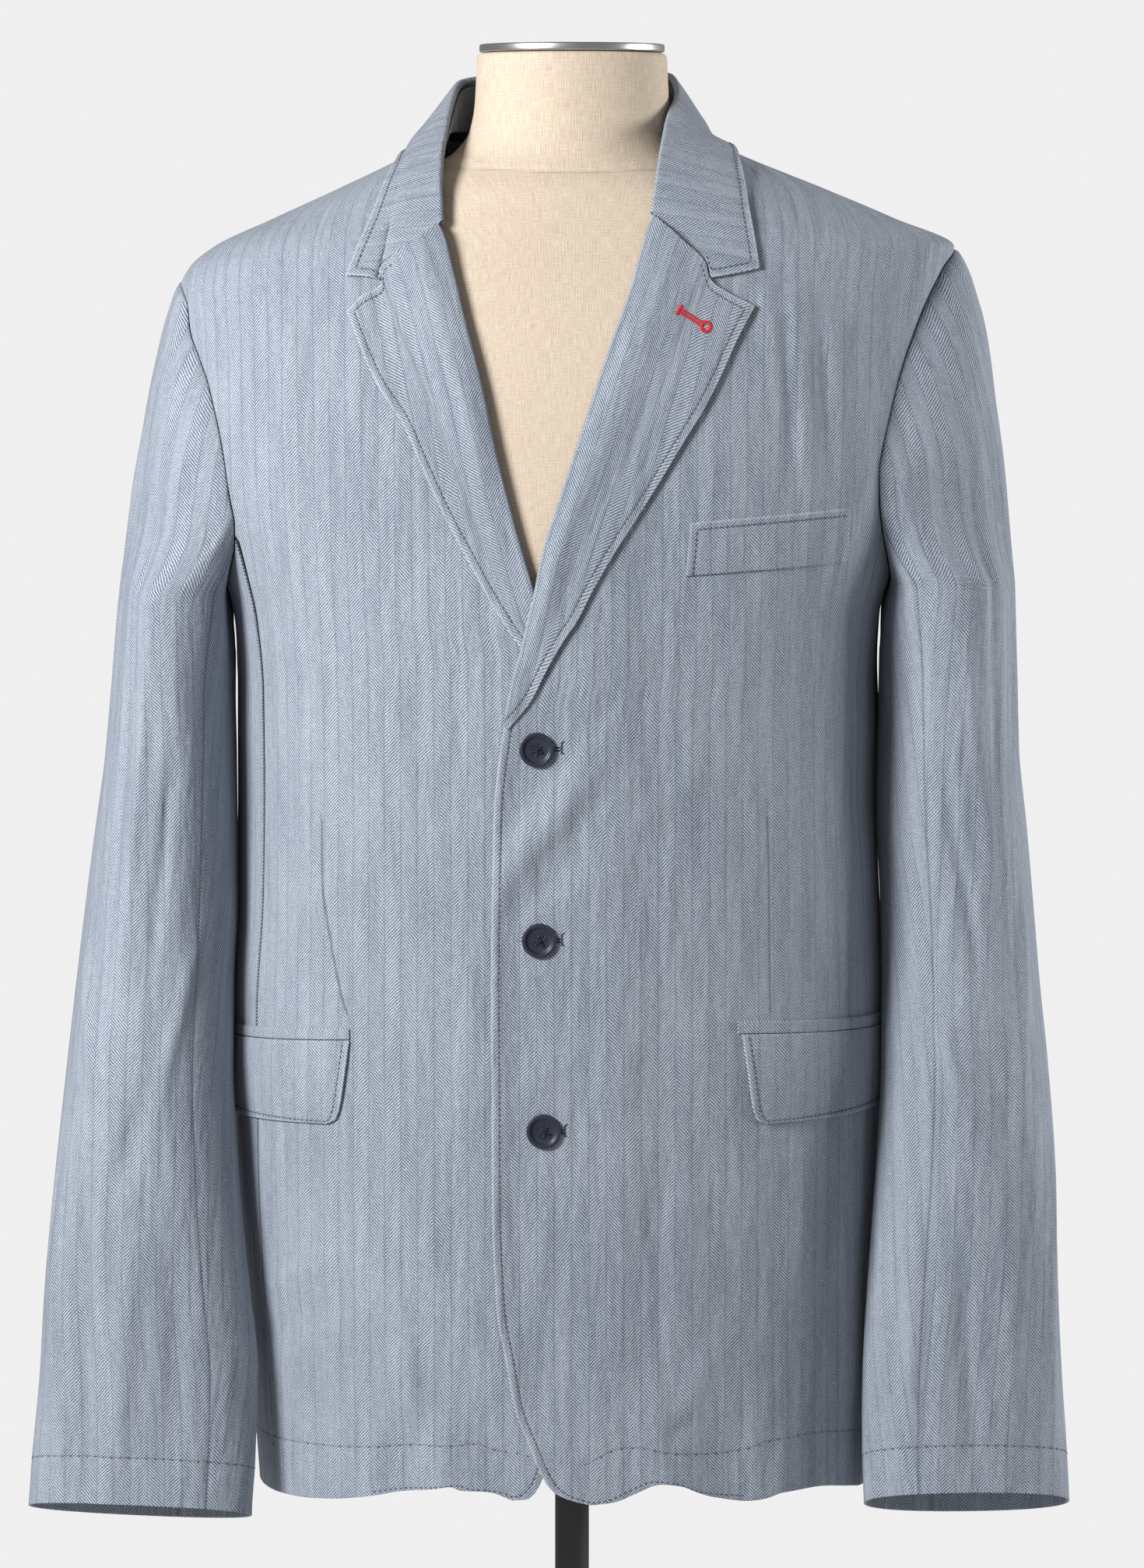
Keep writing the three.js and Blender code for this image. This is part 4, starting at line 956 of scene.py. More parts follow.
def shell(name, outer, inner, cloth, fields):
    """A thin closed cloth from its outer and inner grids of points, with rounded rims."""
    n, m = outer.shape[:2]
    index = np.arange(n * m).reshape(n, m)
    a, b = index[:-1, :-1].ravel(), index[:-1, 1:].ravel()
    c, d = index[1:, 1:].ravel(), index[1:, :-1].ravel()
    front = np.column_stack([a, b, c, d])
    back = np.column_stack([a, d, c, b]) + n * m
    ring = np.concatenate([index[0, :-1], index[:-1, -1], index[-1, :0:-1], index[:0:-1, 0]])
    flat_outer, flat_inner = outer.reshape(-1, 3), inner.reshape(-1, 3)
    push = np.zeros((n, m, 3))
    push[0] += unit(outer[0] - outer[1])
    push[-1] += unit(outer[-1] - outer[-2])
    push[:, 0] += unit(outer[:, 0] - outer[:, 1])
    push[:, -1] += unit(outer[:, -1] - outer[:, -2])
    half = (flat_outer[ring] - flat_inner[ring]) / 2
    through = unit(half)
    out = push.reshape(-1, 3)[ring]
    out = unit(out - through * np.sum(out * through, -1, keepdims=True))
    radius = np.linalg.norm(half, axis=-1, keepdims=True)
    middle = (flat_outer[ring] + flat_inner[ring]) / 2
    points, quads = [flat_outer, flat_inner], [front, back]
    last = ring
    follow = np.roll(np.arange(len(ring)), -1)
    for k in range(RIM_STEPS + 1):
        if k < RIM_STEPS:
            angle = math.pi * (k + 1) / (RIM_STEPS + 1)
            across = math.copysign(abs(math.cos(angle)) ** 0.5, math.cos(angle))
            across = 0 if k == RIM_STEPS // 2 else across
            points.append(middle + half * across + out * radius * math.sin(angle) ** 0.5 * 0.42)
            now = 2 * n * m + k * len(ring) + np.arange(len(ring))
        else:
            now = ring + n * m
        quads.append(np.column_stack([last, now, now[follow], last[follow]]))
        last = now
    points, quads = np.vstack(points), np.vstack(quads)
    if volume_sign(points, quads) < 0:
        quads = quads[:, ::-1]

    def spread(values):
        values = np.asarray(values, float).reshape(n * m, -1)
        return np.vstack([values, values, *[values[ring]] * RIM_STEPS])

    data = {key: spread(value)[:, 0] for key, value in fields.items()}
    return arrays_to_mesh(name, points, quads, spread(cloth), data)


def along_grain(points, u, v):
    """Cloth coordinates of a grid in millimetres, with the columns of the weave up it."""
    return np.stack([lengths(points, 1), lengths(points, 0)], -1)


def across_grain(points, u, v):
    """Cloth coordinates of a grid in millimetres, with the columns of the weave across it."""
    return np.stack([lengths(points, 0), lengths(points, 1)], -1)


def sleeve_grain(points, u, v):
    """Cloth coordinates of a sleeve: round it on the level from its highest column, and height."""
    x, y, z = np.moveaxis(points, -1, 0)
    top = int(z[-1, 1:-1].argmax()) + 1
    walked = np.zeros(z.shape)
    for way, columns in ((1, range(top + 1, z.shape[1])), (-1, range(top - 1, -1, -1))):
        for j in columns:
            k = j - way
            before = [np.interp(z[:, j], z[:, k], w[:, k]) for w in (x, y)]
            step = np.hypot(x[:, j] - before[0], y[:, j] - before[1])
            walked[:, j] = np.interp(z[:, j], z[:, k], walked[:, k]) + way * step
    return np.stack([walked, z - z[0, top]], -1)


def roll_grain(points, u, v):
    """Cloth coordinates of the collar: along its roll line, and away from it."""
    roll = points[:, 0]
    far = np.linspace(80, 4, 20)[:, None]
    path = np.vstack([roll[0] + unit(roll[0] - roll[4]) * far, roll,
                      roll[-1] + unit(roll[-1] - roll[-5]) * far[::-1]])
    way = unit(np.gradient(path, axis=0))
    walked = walk(path)
    away = points[:, :, None] - path
    near = (away ** 2).sum(-1).argmin(-1)
    gap = np.take_along_axis(away, near[..., None, None], 2)[:, :, 0]
    past = (gap * way[near]).sum(-1)
    across = np.sqrt(np.maximum((gap ** 2).sum(-1) - past ** 2, 0))
    return np.stack([walked[near] + past, across], -1)


class BodyGrain:
    """Cloth coordinates on the body: round it from the middle front, and up it."""

    def __init__(self):
        self.theta = np.linspace(-math.pi, math.pi, 361)
        self.z = np.linspace(290, 1080, 200)
        points = ring_point(body_rings, self.theta[None, :], self.z[:, None])
        walked = lengths(points, 1)
        self.round = walked - walked[:, 180:181]
        self.up = lengths(points, 0)

    def __call__(self, angle, z, back=False):
        t = np.clip((angle + math.pi) / (2 * math.pi) * 360, 0, 359.999)
        k = np.clip((z - 290) / 790 * 199, 0, 198.999)
        i, j = k.astype(int), t.astype(int)
        fi, fj = k - i, t - j

        def read(table):
            low = table[i, j] * (1 - fj) + table[i, j + 1] * fj
            high = table[i + 1, j] * (1 - fj) + table[i + 1, j + 1] * fj
            return low * (1 - fi) + high * fi

        around = read(self.round)
        if back:
            whole = np.where(angle > 0, self.round[i, -1], self.round[i, 0])
            around = around - whole
        return np.stack([around, read(self.up)], -1)


body_grain = BodyGrain()


def settle(obj):
    """A finder of the first surface met going back along +Y, or forward along -Y."""
    points = [v.co[:] for v in obj.data.vertices]
    tree = BVHTree.FromPolygons(points, [p.vertices[:] for p in obj.data.polygons])

    def find(x, z, facing=1):
        start = Vector((x * MM, -facing * 1.0, z * MM))
        place, normal, _, _ = tree.ray_cast(start, Vector((0, facing, 0)))
        if place is None:
            raise RuntimeError(f"nothing of {obj.name} lies at x {x:.1f}, z {z:.1f}")
        return np.array(place) / MM, np.array(normal)

    return find


def grid_normals(outer, inner):
    """Unit normals of a grid, turned to the side away from its inner layer."""
    du, dv = np.gradient(outer, axis=0), np.gradient(outer, axis=1)
    normal = unit(np.cross(du, dv))
    away = np.sum(normal * (outer - inner))
    return normal if away > 0 else -normal


# Finished grids by piece name, for sewing laid on them later.
GRIDS = {}


def track(name, side, distance, high=math.inf, part=(0.0, 1.0), trim=()):
    """Points and normals over a finished piece at one distance from one of its sides."""
    outer, normal = GRIDS[name]
    tall, wide = lengths(outer, 0), lengths(outer, 1)
    if side[0] == "u":
        outer, normal = outer.transpose(1, 0, 2), normal.transpose(1, 0, 2)
        tall, wide = wide.T, tall.T
    places, ways = [], []
    count = outer.shape[0]
    for k in range(int(part[0] * (count - 1)), int(round(part[1] * (count - 1))) + 1):
        reach = wide[k]
        place = distance if side[1] == "0" else reach[-1] - distance
        if place < 0 or place > reach[-1]:
            continue
        point = np.array([np.interp(place, reach, outer[k, :, c]) for c in range(3)])
        before = np.interp(place, reach, tall[k])
        after = np.interp(place, reach, tall[-1] - tall[k])
        if point[2] >= high:
            continue
        if ("low" in trim and before < distance) or ("high" in trim and after < distance):
            continue
        places.append(point)
        ways.append([np.interp(place, reach, normal[k, :, c]) for c in range(3)])
    return np.array(places), unit(np.array(ways))


def run(points, normals, pitch, length):
    """Starts, ends and normals of stitches set along a line."""
    if len(points) < 2:
        return [np.zeros((0, 3))] * 3
    walked = walk(points)
    first = np.arange(0.0, walked[-1] - length, pitch)

    def read(values, at):
        return np.column_stack([np.interp(at, walked, values[:, c]) for c in range(3)])

    return read(points, first), read(points, first + length), unit(read(normals, first))


def threads(name, batches, radius, rise=0.5):
    """Lens-shaped stitches as one piece, each from its start to its end."""
    starts = np.vstack([b[0] for b in batches])
    ends = np.vstack([b[1] for b in batches])
    up = np.vstack([b[2] for b in batches])
    if not len(starts):
        raise RuntimeError(f"{name} has no stitches")
    along = ends - starts
    across = unit(np.cross(up, along))
    top = unit(np.cross(along, across))
    seat = top * radius * rise
    rings = []
    for share in (0.22, 0.78):
        middle = starts + along * share + seat
        rings.append([middle + across * radius, middle + top * radius,
                      middle - across * radius, middle - top * radius])
    tip = top * radius * 0.4
    stack = [starts - tip, *rings[0], *rings[1], ends - tip]
    points = np.stack(stack, 1).reshape(-1, 3)
    faces = []
    for k in range(4):
        j = (k + 1) % 4
        faces += [[0, 1 + k, 1 + j], [1 + k, 5 + k, 5 + j], [1 + k, 5 + j, 1 + j],
                  [9, 5 + j, 5 + k]]
    faces = np.array(faces)
    a, b, c = (points[:10][faces[:, k]] - points[:10].mean(0) for k in range(3))
    if np.einsum("ij,ij->i", a, np.cross(b, c)).sum() < 0:
        faces = faces[:, ::-1]
    every = (faces[None] + 10 * np.arange(len(starts))[:, None, None]).reshape(-1, 3)
    return arrays_to_mesh(name, points, every)


def seat_piece(obj, slot, *nodes):
    """Puts a finished piece on the frame's one body and hides the nodes it stands in for. slot is
    not used.
    """
    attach(obj, "root")
    if nodes:
        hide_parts(*nodes)
    return obj


SHORTEST_SHEET = 0.01
TURNED_EDGE = 0.005


def grid_area(outer):
    a, b, c, d = outer[:-1, :-1], outer[:-1, 1:], outer[1:, 1:], outer[1:, :-1]
    one = np.linalg.norm(np.cross(b - a, c - a), axis=-1)
    two = np.linalg.norm(np.cross(c - a, d - a), axis=-1)
    return (one + two).sum() / 2


def sew(name, batches, radius=0.32, rise=0.5, finish="thread", slot="blazer_cloth"):
    """Lays stitches as one finished piece on the frame's body."""
    obj = threads(name, batches, radius, rise)
    obj.data.materials.append(MATERIALS[finish])
    return seat_piece(obj, slot)


def cloth_sheet(outer):
    """Works out the width, length and area of a finished piece's cut, a short strip's length with
    its turned edges, and keeps none of them.
    """
    tall, wide = lengths(outer, 0), lengths(outer, 1)
    width, length = wide[:, -1].max() * MM, tall[-1].max() * MM
    length += TURNED_EDGE if length < SHORTEST_SHEET else 0
    area = min(grid_area(outer) * MM * MM, width * length)


def flattened(points, normal, rounds):
    """Evens out a grid along its normals, leaving its borders."""
    for _ in range(rounds):
        middle = (points[:-2, 1:-1] + points[2:, 1:-1] + points[1:-1, :-2] + points[1:-1, 2:]) / 4
        n = normal[1:-1, 1:-1]
        move = np.sum((middle - points[1:-1, 1:-1]) * n, -1, keepdims=True)
        points[1:-1, 1:-1] += n * move * 0.7
    return points


def tailor(name, at, rows, cols, stitched, seams, wall, grain_of, relief=None, curl=None,
           part=None, even=0, finish="cloth"):
    """Makes one cut and sewn piece in place of its node and returns it."""
    u, v = lattice(at, rows, cols)
    bare = at(u, v, 0.0)
    edge = edge_distance(bare, stitched, part)
    seam = edge_distance(bare, seams)
    lift = sewn_height(edge) if stitched else np.zeros(u.shape)
    lift = lift - 0.22 * bell(seam, 0, 1.4)
    far = np.full(u.shape, FAR)
    fields = {"edge": edge, "seam": seam, "dart": far, "line": far}
    if relief is not None:
        more, extra_fields = relief(bare, u, v, fields)
        lift = lift + more
        fields.update(extra_fields)
    outer, inner = at(u, v, lift), at(u, v, -wall + np.zeros(u.shape))
    if even:
        normal = grid_normals(outer, inner)
        outer, inner = flattened(outer, normal, even), flattened(inner, normal, even)
    cloth = grain_of(bare, u, v)
    if curl is not None:
        outer, inner, cloth, fields = curl(outer, inner, cloth, fields)
    obj = shell(name, outer, inner, cloth, fields)
    GRIDS[name] = outer, grid_normals(outer, inner)
    obj.data.materials.append(MATERIALS[finish])
    seat_piece(obj, "blazer_cloth", name.replace("_cloth", ""))
    cloth_sheet(outer)
    return obj


def rolled(radius_at, wall, steps):
    """Carries a piece round a soft fold at its first column, back toward what it lies on."""
    angles = np.radians(steps)

    def curl(outer, inner, cloth, fields):
        normal = unit(outer[:, 0] - inner[:, 0])
        over = unit(outer[:, 0] - outer[:, 1])
        over = unit(over - normal * np.sum(over * normal, -1, keepdims=True))
        radius = radius_at(np.linspace(0, 1, len(outer)))[:, None]
        middle = outer[:, 0] - normal * radius
        inside = np.maximum(radius - wall, 0.25)
        more_out, more_in, more_cloth = [], [], []
        way = cloth[:, 0] - cloth[:, 1]
        way = way / np.maximum(np.linalg.norm(way, axis=-1, keepdims=True), 1e-9)
        for a in angles:
            turn = normal * math.cos(a) + over * math.sin(a) * 0.9
            more_out.append(middle + turn * radius)
            more_in.append(middle + turn * inside)
            more_cloth.append(cloth[:, 0] + way * radius * a)
        outer = np.concatenate([np.stack(more_out, 1), outer], 1)
        inner = np.concatenate([np.stack(more_in, 1), inner], 1)
        cloth = np.concatenate([np.stack(more_cloth, 1), cloth], 1)
        count = len(angles)
        fields = {key: np.concatenate([np.repeat(value[:, :1], count, 1), value], 1)
                  for key, value in fields.items()}
        return outer, inner, cloth, fields

    return curl


class Value:
    """A socket of a shader, with arithmetic that adds Math nodes."""

    def __init__(self, graph, socket):
        self.graph, self.socket = graph, socket

    def math(self, operation, *others):
        inputs = dict(enumerate([self, *others]))
        return self.graph.node("ShaderNodeMath", {"operation": operation}, inputs)

    def __add__(self, other):
        return self.math("ADD", other)

    __radd__ = __add__

    def __sub__(self, other):
        return self.math("SUBTRACT", other)

    def __mul__(self, other):
        return self.math("MULTIPLY", other)

    def __truediv__(self, other):
        return self.math("DIVIDE", other)

    def bell(self, middle, half):
        """1 at a middle value, falling to nought over about two half widths."""
        away = (self - middle) / half
        return (away * away * -1.0).math("EXPONENT")

    def clamp(self):
        return self.graph.node("ShaderNodeClamp", {}, {"Value": self})

    def between(self, low, high):
        return self.graph.node("ShaderNodeMapRange", {"interpolation_type": "SMOOTHSTEP"},
                               {"Value": self, "From Min": low, "From Max": high})


class Graph:
    """The nodes of one material."""

    def __init__(self, name, slot_colour):
        self.material = bpy.data.materials.new(name)
        self.material.use_nodes = True
        self.material.diffuse_color = (*slot_colour, 1)
        self.tree = self.material.node_tree
        self.shader = self.tree.nodes["Principled BSDF"]
        self.out = self.tree.nodes["Material Output"]

    def link(self, socket, value):
        if isinstance(value, Value):
            self.tree.links.new(value.socket, socket)
        elif socket.type == "RGBA" and len(value) == 3:
            socket.default_value = (*value, 1)
        else:
            socket.default_value = value

    def node(self, kind, settings, inputs, output=0):
        made = self.tree.nodes.new(kind)
        for key, value in settings.items():
            setattr(made, key, value)
        for key, value in inputs.items():
            self.link(made.inputs[key], value)
        return Value(self, made.outputs[output])

    def finish(self, **sockets):
        for key, value in sockets.items():
            self.link(self.shader.inputs[key.replace("_", " ")], value)
        return self.material

    def speckle(self, scale, detail):
        """Noise on the object's own coordinates, its scale by the metre."""
        spot = self.node("ShaderNodeTexCoord", {}, {}, "Object")
        return self.node("ShaderNodeTexNoise", {},
                         {"Vector": spot, "Scale": scale, "Detail": detail}, "Fac")

    def cloth_uv(self):
        """Cloth coordinates in millimetres, across and along."""
        uv = self.node("ShaderNodeUVMap", {"uv_map": "cloth"}, {})
        mm = self.node("ShaderNodeVectorMath", {"operation": "SCALE"}, {0: uv, "Scale": 1000.0})
        parts = self.tree.nodes.new("ShaderNodeSeparateXYZ")
        self.link(parts.inputs[0], mm)
        self.across, self.along = (Value(self, parts.outputs[k]) for k in (0, 1))
        return self.across, self.along

    def attribute(self, name):
        return self.node("ShaderNodeAttribute", {"attribute_name": name}, {}, "Fac")

    def noise(self, across, along, layer, detail=2.0, rough=0.5):
        """Noise by the cloth coordinates times two rates, each layer another noise."""
        place = self.node("ShaderNodeCombineXYZ", {},
                          {0: self.across * across, 1: self.along * along, 2: layer})
        return self.node("ShaderNodeTexNoise", {"noise_dimensions": "3D"},
                         {"Vector": place, "Scale": 1.0, "Detail": detail, "Roughness": rough},
                         "Fac")

    def vary(self, *settings):
        return self.noise(*settings) - 0.5

    def mix(self, factor, one, two, blend="MIX"):
        made = self.tree.nodes.new("ShaderNodeMix")
        made.data_type, made.blend_type = "RGBA", blend
        made.clamp_factor = True
        self.link(made.inputs[0], factor)
        self.link(made.inputs[6], one)
        self.link(made.inputs[7], two)
        return Value(self, made.outputs[2])

    def bump(self, height, strength=1.0):
        """A normal from a height in millimetres."""
        return self.node("ShaderNodeBump", {}, {"Strength": strength, "Distance": MM,
                                               "Height": height})


MATERIALS = {}


def shaded(colour, share):
    return tuple(c * share for c in colour)


# deep below 1 darkens the yarn colours, making a painted-shade copy of the cloth.
def cloth_material(name, look, deep=1.0):
    g = Graph(name, shaded((0.40, 0.44, 0.52), deep))
    across, along = g.cloth_uv()
    column = look.column / MM
    drift, wander = g.vary(0.02, 0.012, 3.0, 1.0), g.vary(0.5, 0.03, 7.0, 1.0)
    u = across + wander * 0.7
    odd = ((u / column).math("FLOOR") * 0.5).math("FRACT") * 2.0
    slope = u.math("PINGPONG", column)
    wobble = g.vary(0.25, 0.25, 11.0, 1.0)
    phase = (along + slope + drift * 6.0 + wobble * 0.7) / (look.twill / MM) + odd * 0.5
    rib = (phase * (2 * math.pi)).math("COSINE") * 0.5 + 0.5
    gap = (u / column - (u / column + 0.5).math("FLOOR")) * column
    turn_line = gap.bell(0.0, 0.5)
    warp, slub = g.vary(1.1, 0.16, 1.0, 2.0, 0.6), g.vary(0.16, 0.016, 5.0, 2.0, 0.6)
    weft, speck = g.vary(0.12, 1.3, 9.0, 2.0, 0.6), g.vary(1.2, 1.2, 13.0, 2.0, 0.6)
    patch_tone = g.vary(0.012, 0.012, 17.0)
    tone = (0.48 + (rib - 0.5) * 0.95 + warp * 0.60 + slub * 0.45 + weft * 0.30 + speck * 1.20
            + (odd - 0.5) * 0.03 + patch_tone * 0.22 - turn_line * 0.16)
    colour = g.mix(tone.clamp(), shaded(look.yarn_dark, deep), shaded(look.yarn_light, deep))
    fleck = (g.noise(1.2, 0.9, 21.0, 1.0) - 0.71).math("MAXIMUM", 0.0) * 6.0
    colour = g.mix(fleck.clamp(), colour, (0.72, 0.74, 0.78))
    edge, seam = g.attribute("edge"), g.attribute("seam")
    dart, hem_line = g.attribute("dart").bell(0.0, 0.65), g.attribute("line").bell(0.0, 0.5)
    # Painted shade: the cloth is darkened along seams, darts and hem lines and in the groove of the
    # stitch line, where shade falls.
    dip = (edge.bell(STITCH_IN, 0.55) * 0.46 + seam.bell(0.0, 0.8) * 0.36 + dart * 0.6
           + hem_line * 0.3)
    colour = g.mix(dip.clamp(), colour, (0.06, 0.07, 0.10))
    # Painted highlight: a pale line along the very edge of stitched borders, where light catches
    # the turned edge.
    painted_edge_highlight = edge.bell(0.3, 0.7) * 0.20
    colour = g.mix(painted_edge_highlight.clamp(), colour, (0.70, 0.73, 0.78))
    nap, crumple = g.noise(2.6, 2.6, 31.0), g.noise(0.085, 0.020, 41.0, 2.0, 0.55)
    height = (rib * 0.10 + warp * 0.14 + slub * 0.10 + nap * 0.05 - turn_line * 0.06
              + crumple * 2.4 - dart * 0.5 - hem_line * 0.2)
    return g.finish(Base_Color=colour, Roughness=0.9 + speck * 0.08, Normal=g.bump(height),
                    Sheen_Weight=look.sheen, Sheen_Roughness=0.45,
                    Sheen_Tint=(0.85, 0.9, 1.0), Specular_IOR_Level=0.25)


def linen_material(look):
    g = Graph("form_linen", (0.74, 0.61, 0.48))
    across, along = g.cloth_uv()
    turns = 2 * math.pi / (look.thread / MM)

    def threads_across(place, bend):
        return ((place + bend * 0.5) * turns).math("SINE") * 0.5 + 0.5

    wave_u = threads_across(across, g.vary(0.3, 0.05, 2.0, 1.0))
    wave_v = threads_across(along, g.vary(0.05, 0.3, 4.0, 1.0))
    slub_u, slub_v = g.vary(1.5, 0.11, 6.0), g.vary(0.11, 1.5, 8.0)
    fine = g.vary(2.2, 2.2, 10.0)
    tone = (0.5 + (wave_u * 0.30 + wave_v * 0.16 - 0.23) + slub_u * 0.75 + slub_v * 0.45
            + fine * 1.3)
    colour = g.mix(tone.clamp(), tuple(look.linen_dark), tuple(look.linen_light))
    height = wave_u * 0.07 + wave_v * 0.05 + slub_u * 0.05 + slub_v * 0.03 + fine * 0.03
    seam = g.attribute("seam")
    # Painted shade: the linen is darkened along the groove of the neck seam.
    colour = g.mix((seam.bell(0.0, 0.7) * 0.35).clamp(), colour, (0.16, 0.12, 0.09))
    return g.finish(Base_Color=colour, Roughness=0.88 + fine * 0.1, Normal=g.bump(height),
                    Sheen_Weight=0.12, Specular_IOR_Level=0.25)


def thread_material(name, colour, dark):
    g = Graph(name, colour)
    tone = g.speckle(1800.0, 1.0)
    mixed = g.mix(tone.between(0.3, 0.7), dark, colour)
    return g.finish(Base_Color=mixed, Roughness=0.55 + tone * 0.2, Normal=g.bump(tone * 0.05),
                    Specular_IOR_Level=0.35)


def button_material(look):
    g = Graph("button_resin", tuple(look.button))
    cloud, scuff = g.speckle(160.0, 3.0), g.speckle(900.0, 2.0)
    return g.finish(Base_Color=g.mix(cloud, shaded(look.button, 0.55), shaded(look.button, 1.5)),
                    Roughness=0.34 + scuff * 0.14, Normal=g.bump(scuff * 0.02), Coat_Weight=0.25,
                    Coat_Roughness=0.2)


def steel_material(name, colour, rough, metal):
    g = Graph(name, colour)
    pits, smear = g.speckle(700.0, 3.0), g.speckle(30.0, 2.0)
    return g.finish(Base_Color=g.mix(smear, shaded(colour, 0.8), colour), Metallic=metal,
                    Roughness=rough + smear * 0.12, Normal=g.bump(pits * 0.01))


def colour_value(label, note, value):
    return bpy.props.FloatVectorProperty(name=label, description=note, default=value, size=3,
                                         subtype="COLOR", min=0.0, max=1.0)


def length_value(label, note, value, digits=4):
    return bpy.props.FloatProperty(name=label, description=note, default=value, unit="LENGTH",
                                   precision=digits)


def power_value(label, note, value):
    return bpy.props.FloatProperty(name=label, description=note, default=value, unit="POWER")


class BlazerLook(bpy.types.PropertyGroup):
    """Sizes and colours of the cloth, the form and the buttons."""

    column: length_value("Column width", "Width of one column of the herringbone", 0.0098)
    twill: length_value("Twill rise", "Height between two ribs of the weave", 0.0019)
    wall: length_value("Cloth thickness", "Thickness of the blazer's cloth", 0.0016)
    spacing: length_value("Mesh spacing", "Distance between the points of a cloth piece", 0.0036)
    yarn_dark: colour_value("Dark yarn", "Colour of the blue-grey yarn", (0.080, 0.106, 0.156))
    yarn_light: colour_value("Light yarn", "Colour of the pale yarn", (0.475, 0.515, 0.575))
    sheen: bpy.props.FloatProperty(
        name="Nap", description="Strength of the cloth's soft sheen", default=0.18,
        subtype="FACTOR", min=0.0, max=1.0)
    linen_dark: colour_value("Dark linen", "Shaded threads of the form's linen",
                             (0.39, 0.295, 0.21))
    linen_light: colour_value("Light linen", "Pale threads of the form's linen",
                              (0.86, 0.74, 0.60))
    thread: length_value("Linen thread", "Spacing of the threads of the form's linen", 0.00095, 5)
    button: colour_value("Button", "Colour of the buttons", (0.017, 0.021, 0.038))
    red: colour_value("Buttonhole", "Colour of the lapel's buttonhole", (0.74, 0.045, 0.06))


class BlazerStage(bpy.types.PropertyGroup):
    """Light and floor round the object."""

    key: power_value("Key light", "Power of the key light", 58.0)
    fill: power_value("Fill light", "Power of the fill light", 40.0)
    sky: bpy.props.FloatProperty(name="Room light", description="Strength of the light all round",
                                 default=0.23, min=0.0, max=4.0)
    floor: colour_value("Floor", "Colour of the floor", (0.80, 0.80, 0.80))


def deselect():
    for obj in list(bpy.context.selected_objects):
        obj.select_set(False)


def only(obj):
    deselect()
    obj.select_set(True)
    bpy.context.view_layer.objects.active = obj


def cylinder(sides, radius, depth, place):
    deselect()
    bpy.ops.mesh.primitive_cylinder_add(vertices=sides, radius=radius, depth=depth, location=place)
    return bpy.context.active_object


def pick_faces(obj, test):
    """Selects the faces whose normal passes a test, and nothing else."""
    work = bmesh.from_edit_mesh(obj.data)
    bpy.ops.mesh.select_all(action="DESELECT")
    for face in work.faces:
        face.select = test(face.normal)
    bmesh.update_edit_mesh(obj.data)


def bevelled(obj, width, segments, angle=30):
    bevel = obj.modifiers.new("bevel", "BEVEL")
    bevel.width, bevel.segments, bevel.limit_method = width, segments, "ANGLE"
    bevel.angle_limit = math.radians(angle)
    only(obj)
    bpy.ops.object.modifier_apply(modifier="bevel")


def settle_mesh(obj, name, matrix=None):
    """Puts an object's place into its mesh and names both."""
    only(obj)
    if matrix is not None:
        obj.data.transform(matrix)
    bpy.ops.object.transform_apply(location=True, rotation=True, scale=True)
    obj.name = obj.data.name = name
    bpy.ops.object.shade_smooth_by_angle(angle=math.radians(35))
    return obj


def front_at(side):
    """The front as a surface, its edge drawn back where the lapel folds round it."""
    grid = front_grid(side)
    low, high = (752, 772) if side > 0 else (780, 800)
    extra = overlap if side > 0 else none
    return on_panel(grid, side, lambda z: 3.6 * ease(z, low, high), SEAM / 2, extra), grid


DARTS = {
    1: [[110.1, 711.5], [111.5, 659.9], [112.1, 606.9], [112.6, 576.8]],
    -1: [[-142.5, 713], [-142.4, 661], [-134.8, 606], [-126.4, 571]],
}


def hemmed(deep, groove, pucker, start=None):
    """Relief of a sewn hem: its groove's depth and half width, and its pucker's five measures."""
    sunk, narrow = groove
    high, pitch, sway, swing, reach = pucker

    def relief(points, u, v, fields):
        hem, around = lengths(points, 0), lengths(points, 1)
        begun = 1 if start is None else ease(around, *start)
        wave = high * np.sin(around * pitch + np.sin(around * sway) * swing)
        raised = wave * bell(hem, deep, reach) - sunk * bell(hem, deep, narrow) * begun
        return raised, {"line": (hem - deep) * (1 + BEYOND * (1 - begun))}

    return relief


# How much faster the distance from a dart or hem line grows past the line's end, to hide it.
BEYOND = 200
HEM = hemmed(HEM_DEEP, (0.22, 1.5), (0.16, 0.5, 0.11, 2, 9))
FRONT_HEM = hemmed(HEM_DEEP, (0.22, 1.5), (0.16, 0.55, 0.13, 2, 9), (14, 24))
CUFF = hemmed(CUFF_DEEP, (0.3, 1.4), (0.2, 0.6, 0.12, 2.4, 7))


def dart_relief(side):
    path = curve([[z, x] for x, z in DARTS[side]])

    def relief(points, u, v, fields):
        x, z = points[..., 0], points[..., 2]
        away = x - path(z)[..., 0]
        on = ease(z, 715, 690) * ease(z, 568, 578)
        dart = (0.35 * bell(np.abs(away), 5, 3.5) - 0.8 * bell(away, 0, 1.2)) * on
        hem = lengths(points, 0)
        wave = 0.10 * np.sin(hem * 0.42 + np.sin(hem * 0.07) * 3) * bell(fields["edge"], 0, 7)
        raised, lines = FRONT_HEM(points, u, v, fields)
        return dart + raised + wave, {"dart": away * (1 + BEYOND * (1 - on)), **lines}

    return relief


def body_cloth(grid, back=False):
    def grain_of(points, u, v):
        angle, z = np.moveaxis(grid(u, v), -1, 0)
        return body_grain(angle, z, back)

    return grain_of


def cloth_spacing(look):
    return look.spacing / MM


def wall_of(look):
    return look.wall / MM


